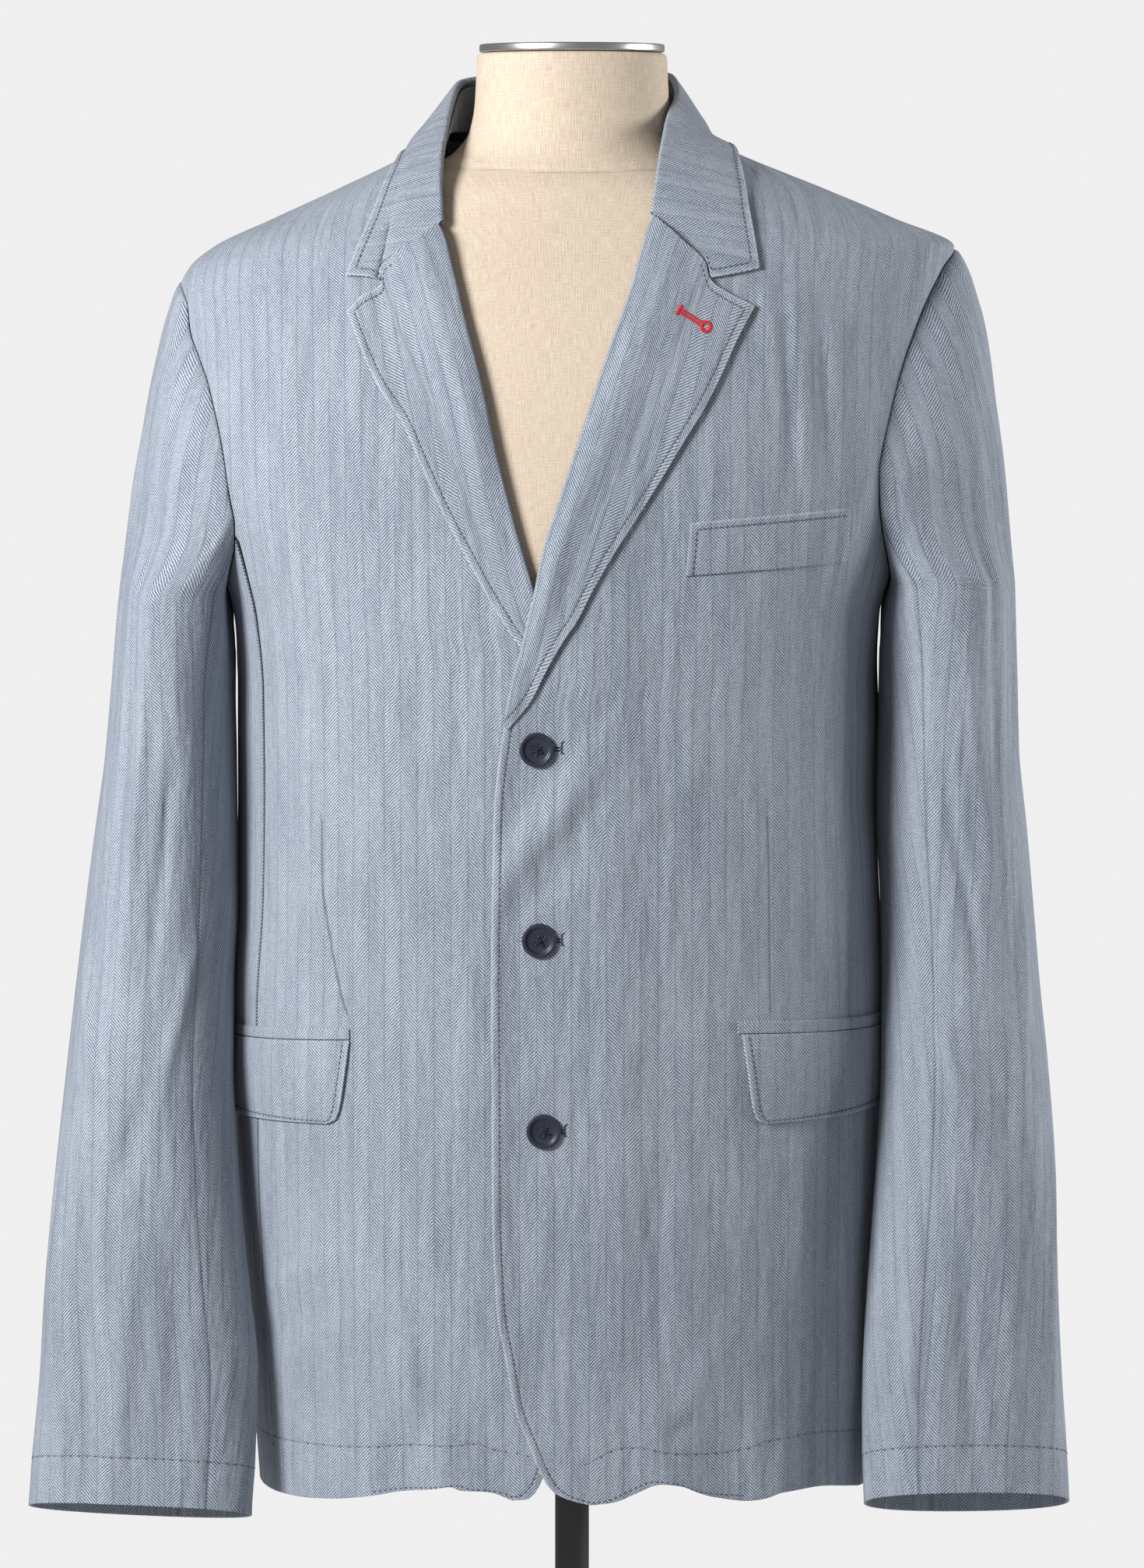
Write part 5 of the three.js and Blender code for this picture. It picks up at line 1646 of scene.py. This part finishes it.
def body_panels(look, name, grid_of, gap, back=False):
    """Makes the left and right panel of a kind, sewn at both sides and at the armhole."""
    pitch = cloth_spacing(look)
    for side, hand in HANDS:
        grid = grid_of(side)
        tailor(f"{name}_{hand}_cloth", on_panel(grid, side, lambda z: gap, gap),
               (EDGE_ROWS, PLAIN_ROWS, pitch), (PLAIN_ROWS, PLAIN_ROWS, pitch), [],
               ["v0", "v1", "u1"], wall_of(look), body_cloth(grid, back), HEM)


class BLAZER_OT_materials(bpy.types.Operator):
    """Makes the cloth, linen, thread, resin and metal finishes"""

    bl_idname = "blazer.materials"
    bl_label = "Finishes"

    def execute(self, context):
        look = context.scene.blazer_look
        MATERIALS["cloth"] = cloth_material("herringbone_wool", look)
        # A half-bright copy of the cloth: painted shade for the inside of the collar stand.
        MATERIALS["inner"] = cloth_material("herringbone_painted_shade", look, 0.5)
        MATERIALS["linen"] = linen_material(look)
        for finish, name, light, dark in (
                ("thread", "grey_thread", (0.13, 0.15, 0.19), (0.05, 0.06, 0.08)),
                ("pale_thread", "pale_thread", (0.72, 0.74, 0.78), (0.40, 0.43, 0.48)),
                ("navy_thread", "navy_thread", (0.02, 0.025, 0.05), (0.008, 0.01, 0.02)),
                ("red_thread", "red_thread", tuple(look.red), shaded(look.red, 0.55))):
            MATERIALS[finish] = thread_material(name, light, dark)
        MATERIALS["button"] = button_material(look)
        MATERIALS["cap"] = steel_material("cap_steel", (0.72, 0.72, 0.73), 0.24, 1.0)
        MATERIALS["stand"] = steel_material("stand_black", (0.045, 0.045, 0.048), 0.32, 0.0)
        return {"FINISHED"}


class BLAZER_OT_fronts(bpy.types.Operator):
    """Makes both fronts with their darts and turned edges"""

    bl_idname = "blazer.fronts"
    bl_label = "Fronts"

    def execute(self, context):
        look = context.scene.blazer_look
        spread = (EDGE_ROWS, PLAIN_ROWS, cloth_spacing(look))
        for side, hand in HANDS:
            at, grid = front_at(side)
            tailor(f"front_{hand}_cloth", at, spread, spread, ["v0"], ["v1", "u1"],
                   wall_of(look), body_cloth(grid), dart_relief(side))
        return {"FINISHED"}


class BLAZER_OT_sides(bpy.types.Operator):
    """Makes the side panels under the arms"""

    bl_idname = "blazer.sides"
    bl_label = "Side panels"

    def execute(self, context):
        body_panels(context.scene.blazer_look, "side_panel", side_grid, SEAM / 2)
        return {"FINISHED"}


class BLAZER_OT_backs(bpy.types.Operator):
    """Makes the two halves of the back"""

    bl_idname = "blazer.backs"
    bl_label = "Back"

    def execute(self, context):
        body_panels(context.scene.blazer_look, "back", back_grid, -SEAM / 2, True)
        return {"FINISHED"}


class BLAZER_OT_sleeves(bpy.types.Operator):
    """Makes the top sleeves and under sleeves with their hanging creases"""

    bl_idname = "blazer.sleeves"
    bl_label = "Sleeves"

    def execute(self, context):
        look = context.scene.blazer_look
        pitch, start = cloth_spacing(look), -108
        for (side, hand), end in zip(HANDS, (118, 126)):
            spans = (("top", start + 0.2, end - 0.2), ("under", end + 0.2, start + 359.8))
            for part, low, high in spans:
                tailor(f"{part}_sleeve_{hand}_cloth", sleeve_at(side, low, high),
                       (EDGE_ROWS, PLAIN_ROWS, pitch), (PLAIN_ROWS, PLAIN_ROWS, pitch), [],
                       ["v0", "v1", "u1"], wall_of(look), sleeve_grain,
                       CUFF)
        return {"FINISHED"}


# Angles in degrees at which the cloth is carried round the fold of a lapel and of the collar.
LAPEL_TURN = [150, 128, 106, 84, 62, 42, 21]
COLLAR_TURN = [150, 125, 100, 75, 50, 25]
FOLD_ROWS = [0, 1.5]
ENDS_FROM = (0.5, 0.62)


class BLAZER_OT_lapels(bpy.types.Operator):
    """Makes the lapels, folded softly along their break"""

    bl_idname = "blazer.lapels"
    bl_label = "Lapels"

    def execute(self, context):
        wall = wall_of(context.scene.blazer_look)
        fold = rolled(lambda t: 0.5 + 1.9 * ease(t, 0.0, 0.1), wall, LAPEL_TURN)
        for side, hand in HANDS:
            base = lapel_at(side)

            def at(u, v, lift, base=base):
                return base(u, 0.03 + 0.97 * v, lift)

            tailor(f"lapel_{hand}_cloth", at, (EDGE_ROWS, EDGE_ROWS, 3.0),
                   (FOLD_ROWS, EDGE_ROWS, 3.0), ["v1", "u1"], [], wall, along_grain,
                   None, fold, {"u1": ENDS_FROM})
        return {"FINISHED"}


class BLAZER_OT_collar(bpy.types.Operator):
    """Makes the collar's fall, folded over its stand, and the stand"""

    bl_idname = "blazer.collar"
    bl_label = "Collar"

    def execute(self, context):
        wall = wall_of(context.scene.blazer_look)
        fold = rolled(lambda t: np.full(t.shape, 2.3), wall, COLLAR_TURN)
        tailor("collar_fall_cloth", on_grid(fall_point, 1, WALL), (EDGE_ROWS, EDGE_ROWS, 3.2),
               (FOLD_ROWS, EDGE_ROWS, 3.0), ["v1", "u0", "u1"], [], wall, roll_grain,
               None, fold, {"u0": ENDS_FROM, "u1": ENDS_FROM}, 8)
        plain = (PLAIN_ROWS, PLAIN_ROWS, 3.6)
        # The stand is the same cloth, given the half-bright copy as painted shade for its shaded
        # inside.
        tailor("collar_stand_cloth", on_grid(stand_point, -1), plain, plain, [], [], WALL,
               across_grain, finish="inner")
        return {"FINISHED"}


class BLAZER_OT_pockets(bpy.types.Operator):
    """Makes the chest welt, and the welts and flaps of the hip pockets"""

    bl_idname = "blazer.pockets"
    bl_label = "Pockets"

    def execute(self, context):
        folded = (POCKET_ROWS, PLAIN_ROWS, 3.0)
        narrow = ([0, 0.8, 1.8], [0, 0.8, 1.8], 1.4)
        for side, hand in HANDS:
            extra = overlap if side > 0 else none
            for name, wall, puff, rows, stitched in (("welt", 0.9, 0.1, narrow, []),
                                                     ("flap", 1.3, 0.9, folded, ["u0", "v0"])):
                grid = pocket_grid(hip_corners(side, name))
                tailor(f"hip_{name}_{hand}_cloth", laid_at(grid, 0.3, wall, extra, puff), rows,
                       folded, stitched, [], wall, body_cloth(grid))
        grid = pocket_grid([[float(angle_at(x, z)), z] for x, z in CHEST])
        tailor("chest_welt_cloth", laid_at(grid, 0.2, 1.0, overlap, 0.1),
               (PLAIN_ROWS, POCKET_ROWS, 3.0), folded, ["u1", "v0"], [], 1.0, body_cloth(grid))
        return {"FINISHED"}


# Buttons by name: x and height, turn in degrees, distance off the cloth, and the buttonhole's end.
BUTTONS = {
    "top": (-19.8, 730.6, 18, 1.35, (-5.7, 731.5)),
    "middle": (-18.4, 622.9, -12, 0.9, (-5.7, 623.4)),
    "bottom": (-15.9, 514.8, 24, 0.9, (-4.0, 515.1)),
}
# Distance of the middle of each thread hole from the button's middle lines.
HOLE_OFF = 2.0
def button_blank():
    """A dished button with a raised rim and four holes, modelled at the origin."""
    blank = cylinder(72, 0.0098, 0.0030, (0, 0, 0.0016))
    bpy.ops.object.mode_set(mode="EDIT")
    pick_faces(blank, lambda normal: normal.z > 0.9)
    bpy.ops.mesh.inset(thickness=0.0021)
    for inset, sunk in ((0.0007, 0.0012), (0.0020, 0.0002)):
        bpy.ops.mesh.inset(thickness=inset)
        bpy.ops.transform.translate(value=(0, 0, -sunk))
    bpy.ops.object.mode_set(mode="OBJECT")
    bevelled(blank, 0.0005, 4, 25)
    for x, y in ((1, 1), (-1, 1), (-1, -1), (1, -1)):
        drill = cylinder(20, 0.00118, 0.012, (x * HOLE_OFF * MM, y * HOLE_OFF * MM, 0))
        cut = blank.modifiers.new("hole", "BOOLEAN")
        cut.operation, cut.object, cut.solver = "DIFFERENCE", drill, "EXACT"
        only(blank)
        bpy.ops.object.modifier_apply(modifier="hole")
        bpy.data.objects.remove(drill)
    return blank


def button_seat(x, z, away):
    def on_front(dx, dz):
        return body(angle_at(x + dx, z + dz), z + dz, overlap(x + dx, z + dz))

    right, left, up, down = on_front(8, 0), on_front(-8, 0), on_front(0, 8), on_front(0, -8)
    out = unit(np.cross(right - left, up - down))
    return (right + left + up + down) / 4 + out * away, out


class Stitches:
    """Stitches laid one by one between places given by x and height on a finished piece."""

    def __init__(self, find):
        self.find, self.rows = find, []

    def add(self, one, two):
        first, normal = self.find(*one)
        second, _ = self.find(*two)
        self.rows.append((first, second, normal))

    def batches(self):
        return [tuple(np.array(part) for part in zip(*self.rows))]


def thread_cross(name, matrix):
    """The crossed thread on a button, with the thread that fills its holes."""
    def placed(*spots):
        return [list(matrix @ (Vector(spot) * MM)) for spot in spots]

    def turned(way, count):
        return np.repeat([list(matrix.to_3x3() @ Vector(way))], count, 0)

    a = HOLE_OFF
    ends = []
    for rise in (1, -1):
        for shift in (-0.28, 0.28):
            ends.append(placed((-a + shift, -(a + shift) * rise, 1.3),
                               (a + shift, (a - shift) * rise, 1.3)))
    down = [placed((x, y, -0.2), (x, y, 1.75)) for x in (-a, a) for y in (-a, a)]
    ends, down = np.array(ends) / MM, np.array(down) / MM
    cross = threads(f"button_{name}_thread",
                    [(ends[:, 0], ends[:, 1], turned((0, 0, 1), len(ends)))], 0.3, 1.2)
    plugs = threads(f"button_{name}_plugs",
                    [(down[:, 0], down[:, 1], turned((1, 0, 0), len(down)))], 0.95, 0.0)
    only(cross)
    plugs.select_set(True)
    bpy.ops.object.join()
    cross.data.materials.append(MATERIALS["navy_thread"])
    return cross


class BLAZER_OT_buttons(bpy.types.Operator):
    """Makes the three buttons with their cross stitches and buttonhole ends"""

    bl_idname = "blazer.buttons"
    bl_label = "Buttons"

    def execute(self, context):
        blank = button_blank()
        front = settle(bpy.data.objects["front_left_cloth"])
        for name, (x, z, turn, away, (bar_x, bar_z)) in BUTTONS.items():
            seat, out = button_seat(x, z, away)
            to_out = Vector((0, 0, 1)).rotation_difference(Vector(out)).to_matrix().to_4x4()
            spin = Matrix.Rotation(math.radians(turn), 4, "Z")
            matrix = Matrix.Translation(Vector(seat * MM)) @ to_out @ spin
            copy = linked(f"button_{name}_resin", blank.data.copy())
            settle_mesh(copy, f"button_{name}_resin", matrix)
            copy.data.materials.append(MATERIALS["button"])
            seat_piece(copy, "button_resin", f"button_{name}")
            seat_piece(thread_cross(name, matrix), "button_resin")
            end = Stitches(front)
            for dz in np.linspace(-3.0, 3.0, 9):
                end.add((bar_x - 0.8, bar_z + dz), (bar_x + 0.8, bar_z + dz * 1.04))
            for k in range(7):
                px, pz = bar_x - 1.0 - 0.55 * k, bar_z - 0.5
                for sign in (-1, 1):
                    end.add((px, pz + sign * 0.25), (px - 0.1, pz + sign * 1.35))
            for one, two in (((0.6, 2.9), (1.4, 4.4)), ((0.7, -2.6), (1.5, -3.6))):
                end.add((bar_x + one[0], bar_z + one[1]), (bar_x + two[0], bar_z + two[1]))
            sew(f"buttonhole_{name}_thread", end.batches(), 0.27, 0.6, "navy_thread",
                "button_resin")
        bpy.data.objects.remove(blank)
        return {"FINISHED"}


# Stitches by pitch and length, and how far in those of the pockets lie.
TOP_STITCH, HEM_STITCH, CUFF_STITCH = (3.2, 2.2), (6.4, 1.5), (5.0, 1.7)
POCKET_IN = 3.8
HOLE_START, HOLE_END = np.array([60.4, 977.4]), np.array([75.6, 967.8])


class BLAZER_OT_sewing(bpy.types.Operator):
    """Lays the stitches of the edges, hems and cuffs, and the red buttonhole"""

    bl_idname = "blazer.sewing"
    bl_label = "Sewing"

    def execute(self, context):
        def seam(piece, side, distance=STITCH_IN, stitch=TOP_STITCH, **limits):
            return run(*track(f"{piece}_cloth", side, distance, **limits), *stitch)

        low, high = {"trim": ("low",)}, {"trim": ("high",)}
        for side, hand in HANDS:
            piece = f"front_{hand}"
            sew(f"{piece}_stitches", [
                seam(piece, "v0", high=748 if side > 0 else 430, **low),
                seam(piece, "u0", part=(0.0, 0.55), **low),
                seam(piece, "u0", HEM_DEEP, HEM_STITCH, part=(0.22 if side > 0 else 0.14, 1.0))])
            for piece, deep, stitch in ((f"side_panel_{hand}", HEM_DEEP, HEM_STITCH),
                                        (f"back_{hand}", HEM_DEEP, HEM_STITCH),
                                        (f"top_sleeve_{hand}", CUFF_DEEP, CUFF_STITCH),
                                        (f"under_sleeve_{hand}", CUFF_DEEP, CUFF_STITCH)):
                sew(f"{piece}_stitches", [seam(piece, "u0", deep, stitch)])
            piece = f"lapel_{hand}"
            sew(f"{piece}_stitches",
                [seam(piece, "v1", **high), seam(piece, "u1", part=(0.5, 1.0), **high)])
            piece = f"hip_flap_{hand}"
            sew(f"{piece}_stitches", [seam(piece, edge, POCKET_IN, **low) for edge in ("u0", "v0")])
        ends = [seam("collar_fall", edge, part=(0.55, 1.0), **high) for edge in ("u0", "u1")]
        sew("collar_stitches", [seam("collar_fall", "v1", trim=("low", "high")), *ends])
        sew("chest_welt_stitches", [seam("chest_welt", "u1", POCKET_IN, **low),
                                    seam("chest_welt", "v0", POCKET_IN, **high)])

        hole = Stitches(settle(bpy.data.objects["lapel_left_cloth"]))
        long = np.linalg.norm(HOLE_END - HOLE_START)
        way = (HOLE_END - HOLE_START) / long
        off = np.array([-way[1], way[0]])
        for t in np.linspace(1.2, long - 3.4, 30):
            for sign in (-1, 1):
                place = HOLE_START + way * t
                hole.add(place + off * sign * 0.1, place + off * sign * 1.75)
        for a in np.linspace(0, 2 * math.pi, 34)[:-1]:
            ray = way * math.cos(a) + off * math.sin(a)
            hole.add(HOLE_END + ray * 1.3, HOLE_END + ray * 3.9)
        for t in np.linspace(-2.9, 2.9, 14):
            place = HOLE_START + off * t
            hole.add(place - way * 1.2, place + way * 1.2)
        sew("lapel_buttonhole_thread", hole.batches(), 0.46, finish="red_thread")
        return {"FINISHED"}


class BLAZER_OT_form(bpy.types.Operator):
    """Makes the form's body in linen, with its neck seam"""

    bl_idname = "blazer.form"
    bl_label = "Form"

    def execute(self, context):
        around = 240
        heights = np.concatenate([np.linspace(FORM_LOW, FORM_SHOULDER, 120, endpoint=False),
                                  np.linspace(FORM_SHOULDER, FORM_TOP, 75)])
        theta = np.linspace(-math.pi, math.pi, around, endpoint=False)
        skin = ring_point(form_rings, theta[None], heights[:, None])
        dip = NECK_SEAM - 3.0 * bell(theta, 0, 0.7)
        away = heights[:, None] - dip[None]
        push = 0.3 * bell(np.abs(away), 3.5, 2.5) - 0.45 * bell(away, 0, 1.3)
        flat = np.hypot(skin[..., 0], skin[..., 1])[..., None]
        skin[..., :2] += skin[..., :2] / flat * push[..., None]
        rims = []
        for a in np.radians([22, 45, 68, 90]):
            ring = skin[-1].copy()
            ring[:, :2] *= (flat[-1] - FORM_ROUND * (1 - math.cos(a))) / flat[-1]
            ring[:, 2] = FORM_TOP + FORM_ROUND * math.sin(a)
            rims.append(ring)
        half = [0.5, 0.5, 1]
        rows = [skin[0] * half, skin[0] * [0.97, 0.97, 1], *skin, *rims, rims[-1] * half]
        points = np.concatenate([np.array(rows).reshape(-1, 3),
                                 [[0, 0, FORM_LOW], [0, 0, rims[-1][0, 2]]]])
        count = len(rows)
        index = np.arange(count * around).reshape(count, around)
        ahead = np.roll(index, -1, 1)
        foot, head = count * around, count * around + 1
        faces = np.stack([index[:-1], ahead[:-1], ahead[1:], index[1:]], -1).reshape(-1, 4)
        faces = faces.tolist() + [[foot, int(b), int(a)] for a, b in zip(index[0], ahead[0])]
        faces += [[head, int(a), int(b)] for a, b in zip(index[-1], ahead[-1])]
        mesh = bpy.data.meshes.new("form_body_linen")
        mesh.from_pydata((points * MM).tolist(), [], faces)
        uv = np.zeros((len(points), 2))
        girth = np.array([walk(np.vstack([row, row[:1]]))[-1] for row in rows])
        uv[:foot, 0] = (girth[:, None] * (theta / (2 * math.pi))[None]).ravel()
        uv[:foot, 1] = np.array(rows)[..., 2].ravel()
        depth = np.full(len(points), FAR)
        depth[2 * around:(2 + len(heights)) * around] = np.abs(away).ravel()
        obj = smooth_piece("form_body_linen", mesh, uv, {"seam": depth})
        obj.data.materials.append(MATERIALS["linen"])
        seat_piece(obj, "form_linen", "form_body")
        ring = skin[np.abs(heights - NECK_SEAM).argmin()].copy()
        ring[:, 2] = dip
        out = unit(ring * [1, 1, 0])
        sew("form_neck_stitches", [run(ring[40:200], out[40:200], 3.4, 2.0)], 0.36,
            finish="navy_thread", slot="form_linen")
        return {"FINISHED"}


def turned_part(name, node, finish, slot, shape, height, insets, bevel, both=False):
    """A round part of the stand: a cylinder whose flat ends are inset and whose rims are bevelled.

    shape is its sides, radius and depth, and bevel is a width and a count of segments.
    """
    part = cylinder(*shape, (0, 0, height))
    bpy.ops.object.mode_set(mode="EDIT")
    pick_faces(part, lambda normal: (abs(normal.z) if both else normal.z) > 0.9)
    for inset in insets:
        bpy.ops.mesh.inset(thickness=inset, use_individual=both)
    bpy.ops.object.mode_set(mode="OBJECT")
    bevelled(part, *bevel)
    settle_mesh(part, name)
    part.data.materials.append(MATERIALS[finish])
    seat_piece(part, slot, node)


class BLAZER_OT_stand(bpy.types.Operator):
    """Makes the neck cap, the pole and the base"""

    bl_idname = "blazer.stand"
    bl_label = "Stand"

    def execute(self, context):
        turned_part("neck_cap_steel", "neck_cap", "cap", "cap_steel", (128, 0.0537, 0.0045),
                    1.12755, [0.0016], (0.0009, 4))
        turned_part("pole_black", "pole", "stand", "stand_black", (64, 0.010, 0.3114),
                    0.174, [0.0008], (0.0006, 3), both=True)
        turned_part("base_black", "base", "stand", "stand_black", (160, 0.170, 0.018),
                    0.009, [0.012, 0.13], (0.005, 6))
        return {"FINISHED"}


# The camera: its focal length and picture in pixels, its sensor in mm, its tilt in degrees.
FOCUS_PIXELS, PICTURE_HEIGHT, SENSOR, CAMERA_DOWN = 8791.2, 2014, 36.0, 4.416


class BLAZER_OT_stage(bpy.types.Operator):
    """Makes the pale floor, the studio light and the camera"""

    bl_idname = "blazer.stage"
    bl_label = "Stage"

    def execute(self, context):
        settings = context.scene.blazer_stage
        deselect()
        bpy.ops.mesh.primitive_circle_add(vertices=128, radius=3.0, fill_type="NGON",
                                          location=(0, 0, 0))
        floor = context.active_object
        floor.name = "floor"
        g = Graph("pale_floor", (0.8, 0.8, 0.8))
        spot = g.node("ShaderNodeTexCoord", {}, {}, "Object")
        reach = g.node("ShaderNodeVectorMath", {"operation": "LENGTH"}, {0: spot}, "Value")
        clear = g.node("ShaderNodeBsdfTransparent", {}, {})
        g.finish(Base_Color=tuple(settings.floor), Roughness=0.8)
        shade = g.tree.nodes.new("ShaderNodeMixShader")
        g.link(shade.inputs[0], reach.between(0.35, 1.15))
        g.tree.links.new(g.shader.outputs[0], shade.inputs[1])
        g.tree.links.new(clear.socket, shade.inputs[2])
        g.tree.links.new(shade.outputs[0], g.out.inputs[0])
        floor.data.materials.append(g.material)

        world = bpy.data.worlds.new("studio")
        context.scene.world = world
        world.use_nodes = True
        tree = world.node_tree
        plain, seen = tree.nodes["Background"], tree.nodes.new("ShaderNodeBackground")
        path, choose = tree.nodes.new("ShaderNodeLightPath"), tree.nodes.new("ShaderNodeMixShader")
        plain.inputs[0].default_value = (1, 1, 1, 1)
        plain.inputs[1].default_value = settings.sky
        seen.inputs[0].default_value = (0.868, 0.866, 0.866, 1)
        tree.links.new(path.outputs["Is Camera Ray"], choose.inputs[0])
        tree.links.new(plain.outputs[0], choose.inputs[1])
        tree.links.new(seen.outputs[0], choose.inputs[2])
        tree.links.new(choose.outputs[0], tree.nodes["World Output"].inputs[0])

        for name, place, size, power in (("key", (-1.36, -1.32, 1.45), 0.7, settings.key),
                                         ("fill", (2.2, 0.15, 1.05), 1.0, settings.fill)):
            lamp = bpy.data.lights.new(name, "AREA")
            lamp.shape, lamp.size, lamp.energy = "DISK", size, power
            obj = linked(name, lamp)
            obj.location = place
            aim = Vector((0, 0, 0.85)) - Vector(place)
            obj.rotation_euler = aim.to_track_quat("-Z", "Y").to_euler()

        lens = bpy.data.cameras.new("camera")
        lens.sensor_fit, lens.sensor_width, lens.sensor_height = "AUTO", SENSOR, SENSOR
        lens.lens = FOCUS_PIXELS / PICTURE_HEIGHT * SENSOR
        lens.clip_start, lens.clip_end = 0.1, 50.0
        camera = linked("camera", lens)
        camera.location = (0, -3.98813, 1.00797)
        camera.rotation_euler = (math.radians(90 - CAMERA_DOWN), 0, 0)
        context.scene.camera = camera
        context.scene.view_settings.view_transform = "Standard"
        return {"FINISHED"}


STEPS = (
    BLAZER_OT_materials, BLAZER_OT_fronts, BLAZER_OT_sides, BLAZER_OT_backs, BLAZER_OT_sleeves,
    BLAZER_OT_lapels, BLAZER_OT_collar, BLAZER_OT_pockets, BLAZER_OT_buttons, BLAZER_OT_sewing,
    BLAZER_OT_form, BLAZER_OT_stand, BLAZER_OT_stage,
)


class BLAZER_PT_panel(bpy.types.Panel):
    """Steps, sizes and colours of the blazer"""

    bl_idname = "BLAZER_PT_panel"
    bl_label = "Blazer"
    bl_space_type = "VIEW_3D"
    bl_region_type = "UI"
    bl_category = "Blazer"

    def draw(self, context):
        for group in (context.scene.blazer_look, context.scene.blazer_stage):
            for key in group.__annotations__:
                self.layout.prop(group, key)
        for step in STEPS:
            self.layout.operator(step.bl_idname)


CLASSES = (BlazerLook, BlazerStage, *STEPS, BLAZER_PT_panel)


def register():
    for item in CLASSES:
        bpy.utils.register_class(item)
    bpy.types.Scene.blazer_look = bpy.props.PointerProperty(type=BlazerLook)
    bpy.types.Scene.blazer_stage = bpy.props.PointerProperty(type=BlazerStage)


def unregister():
    del bpy.types.Scene.blazer_stage
    del bpy.types.Scene.blazer_look
    for item in reversed(CLASSES):
        bpy.utils.unregister_class(item)


def main():
    register()
    for step in STEPS:
        group, name = step.bl_idname.split(".")
        getattr(getattr(bpy.ops, group), name)()


if __name__ == "__main__":
    main()
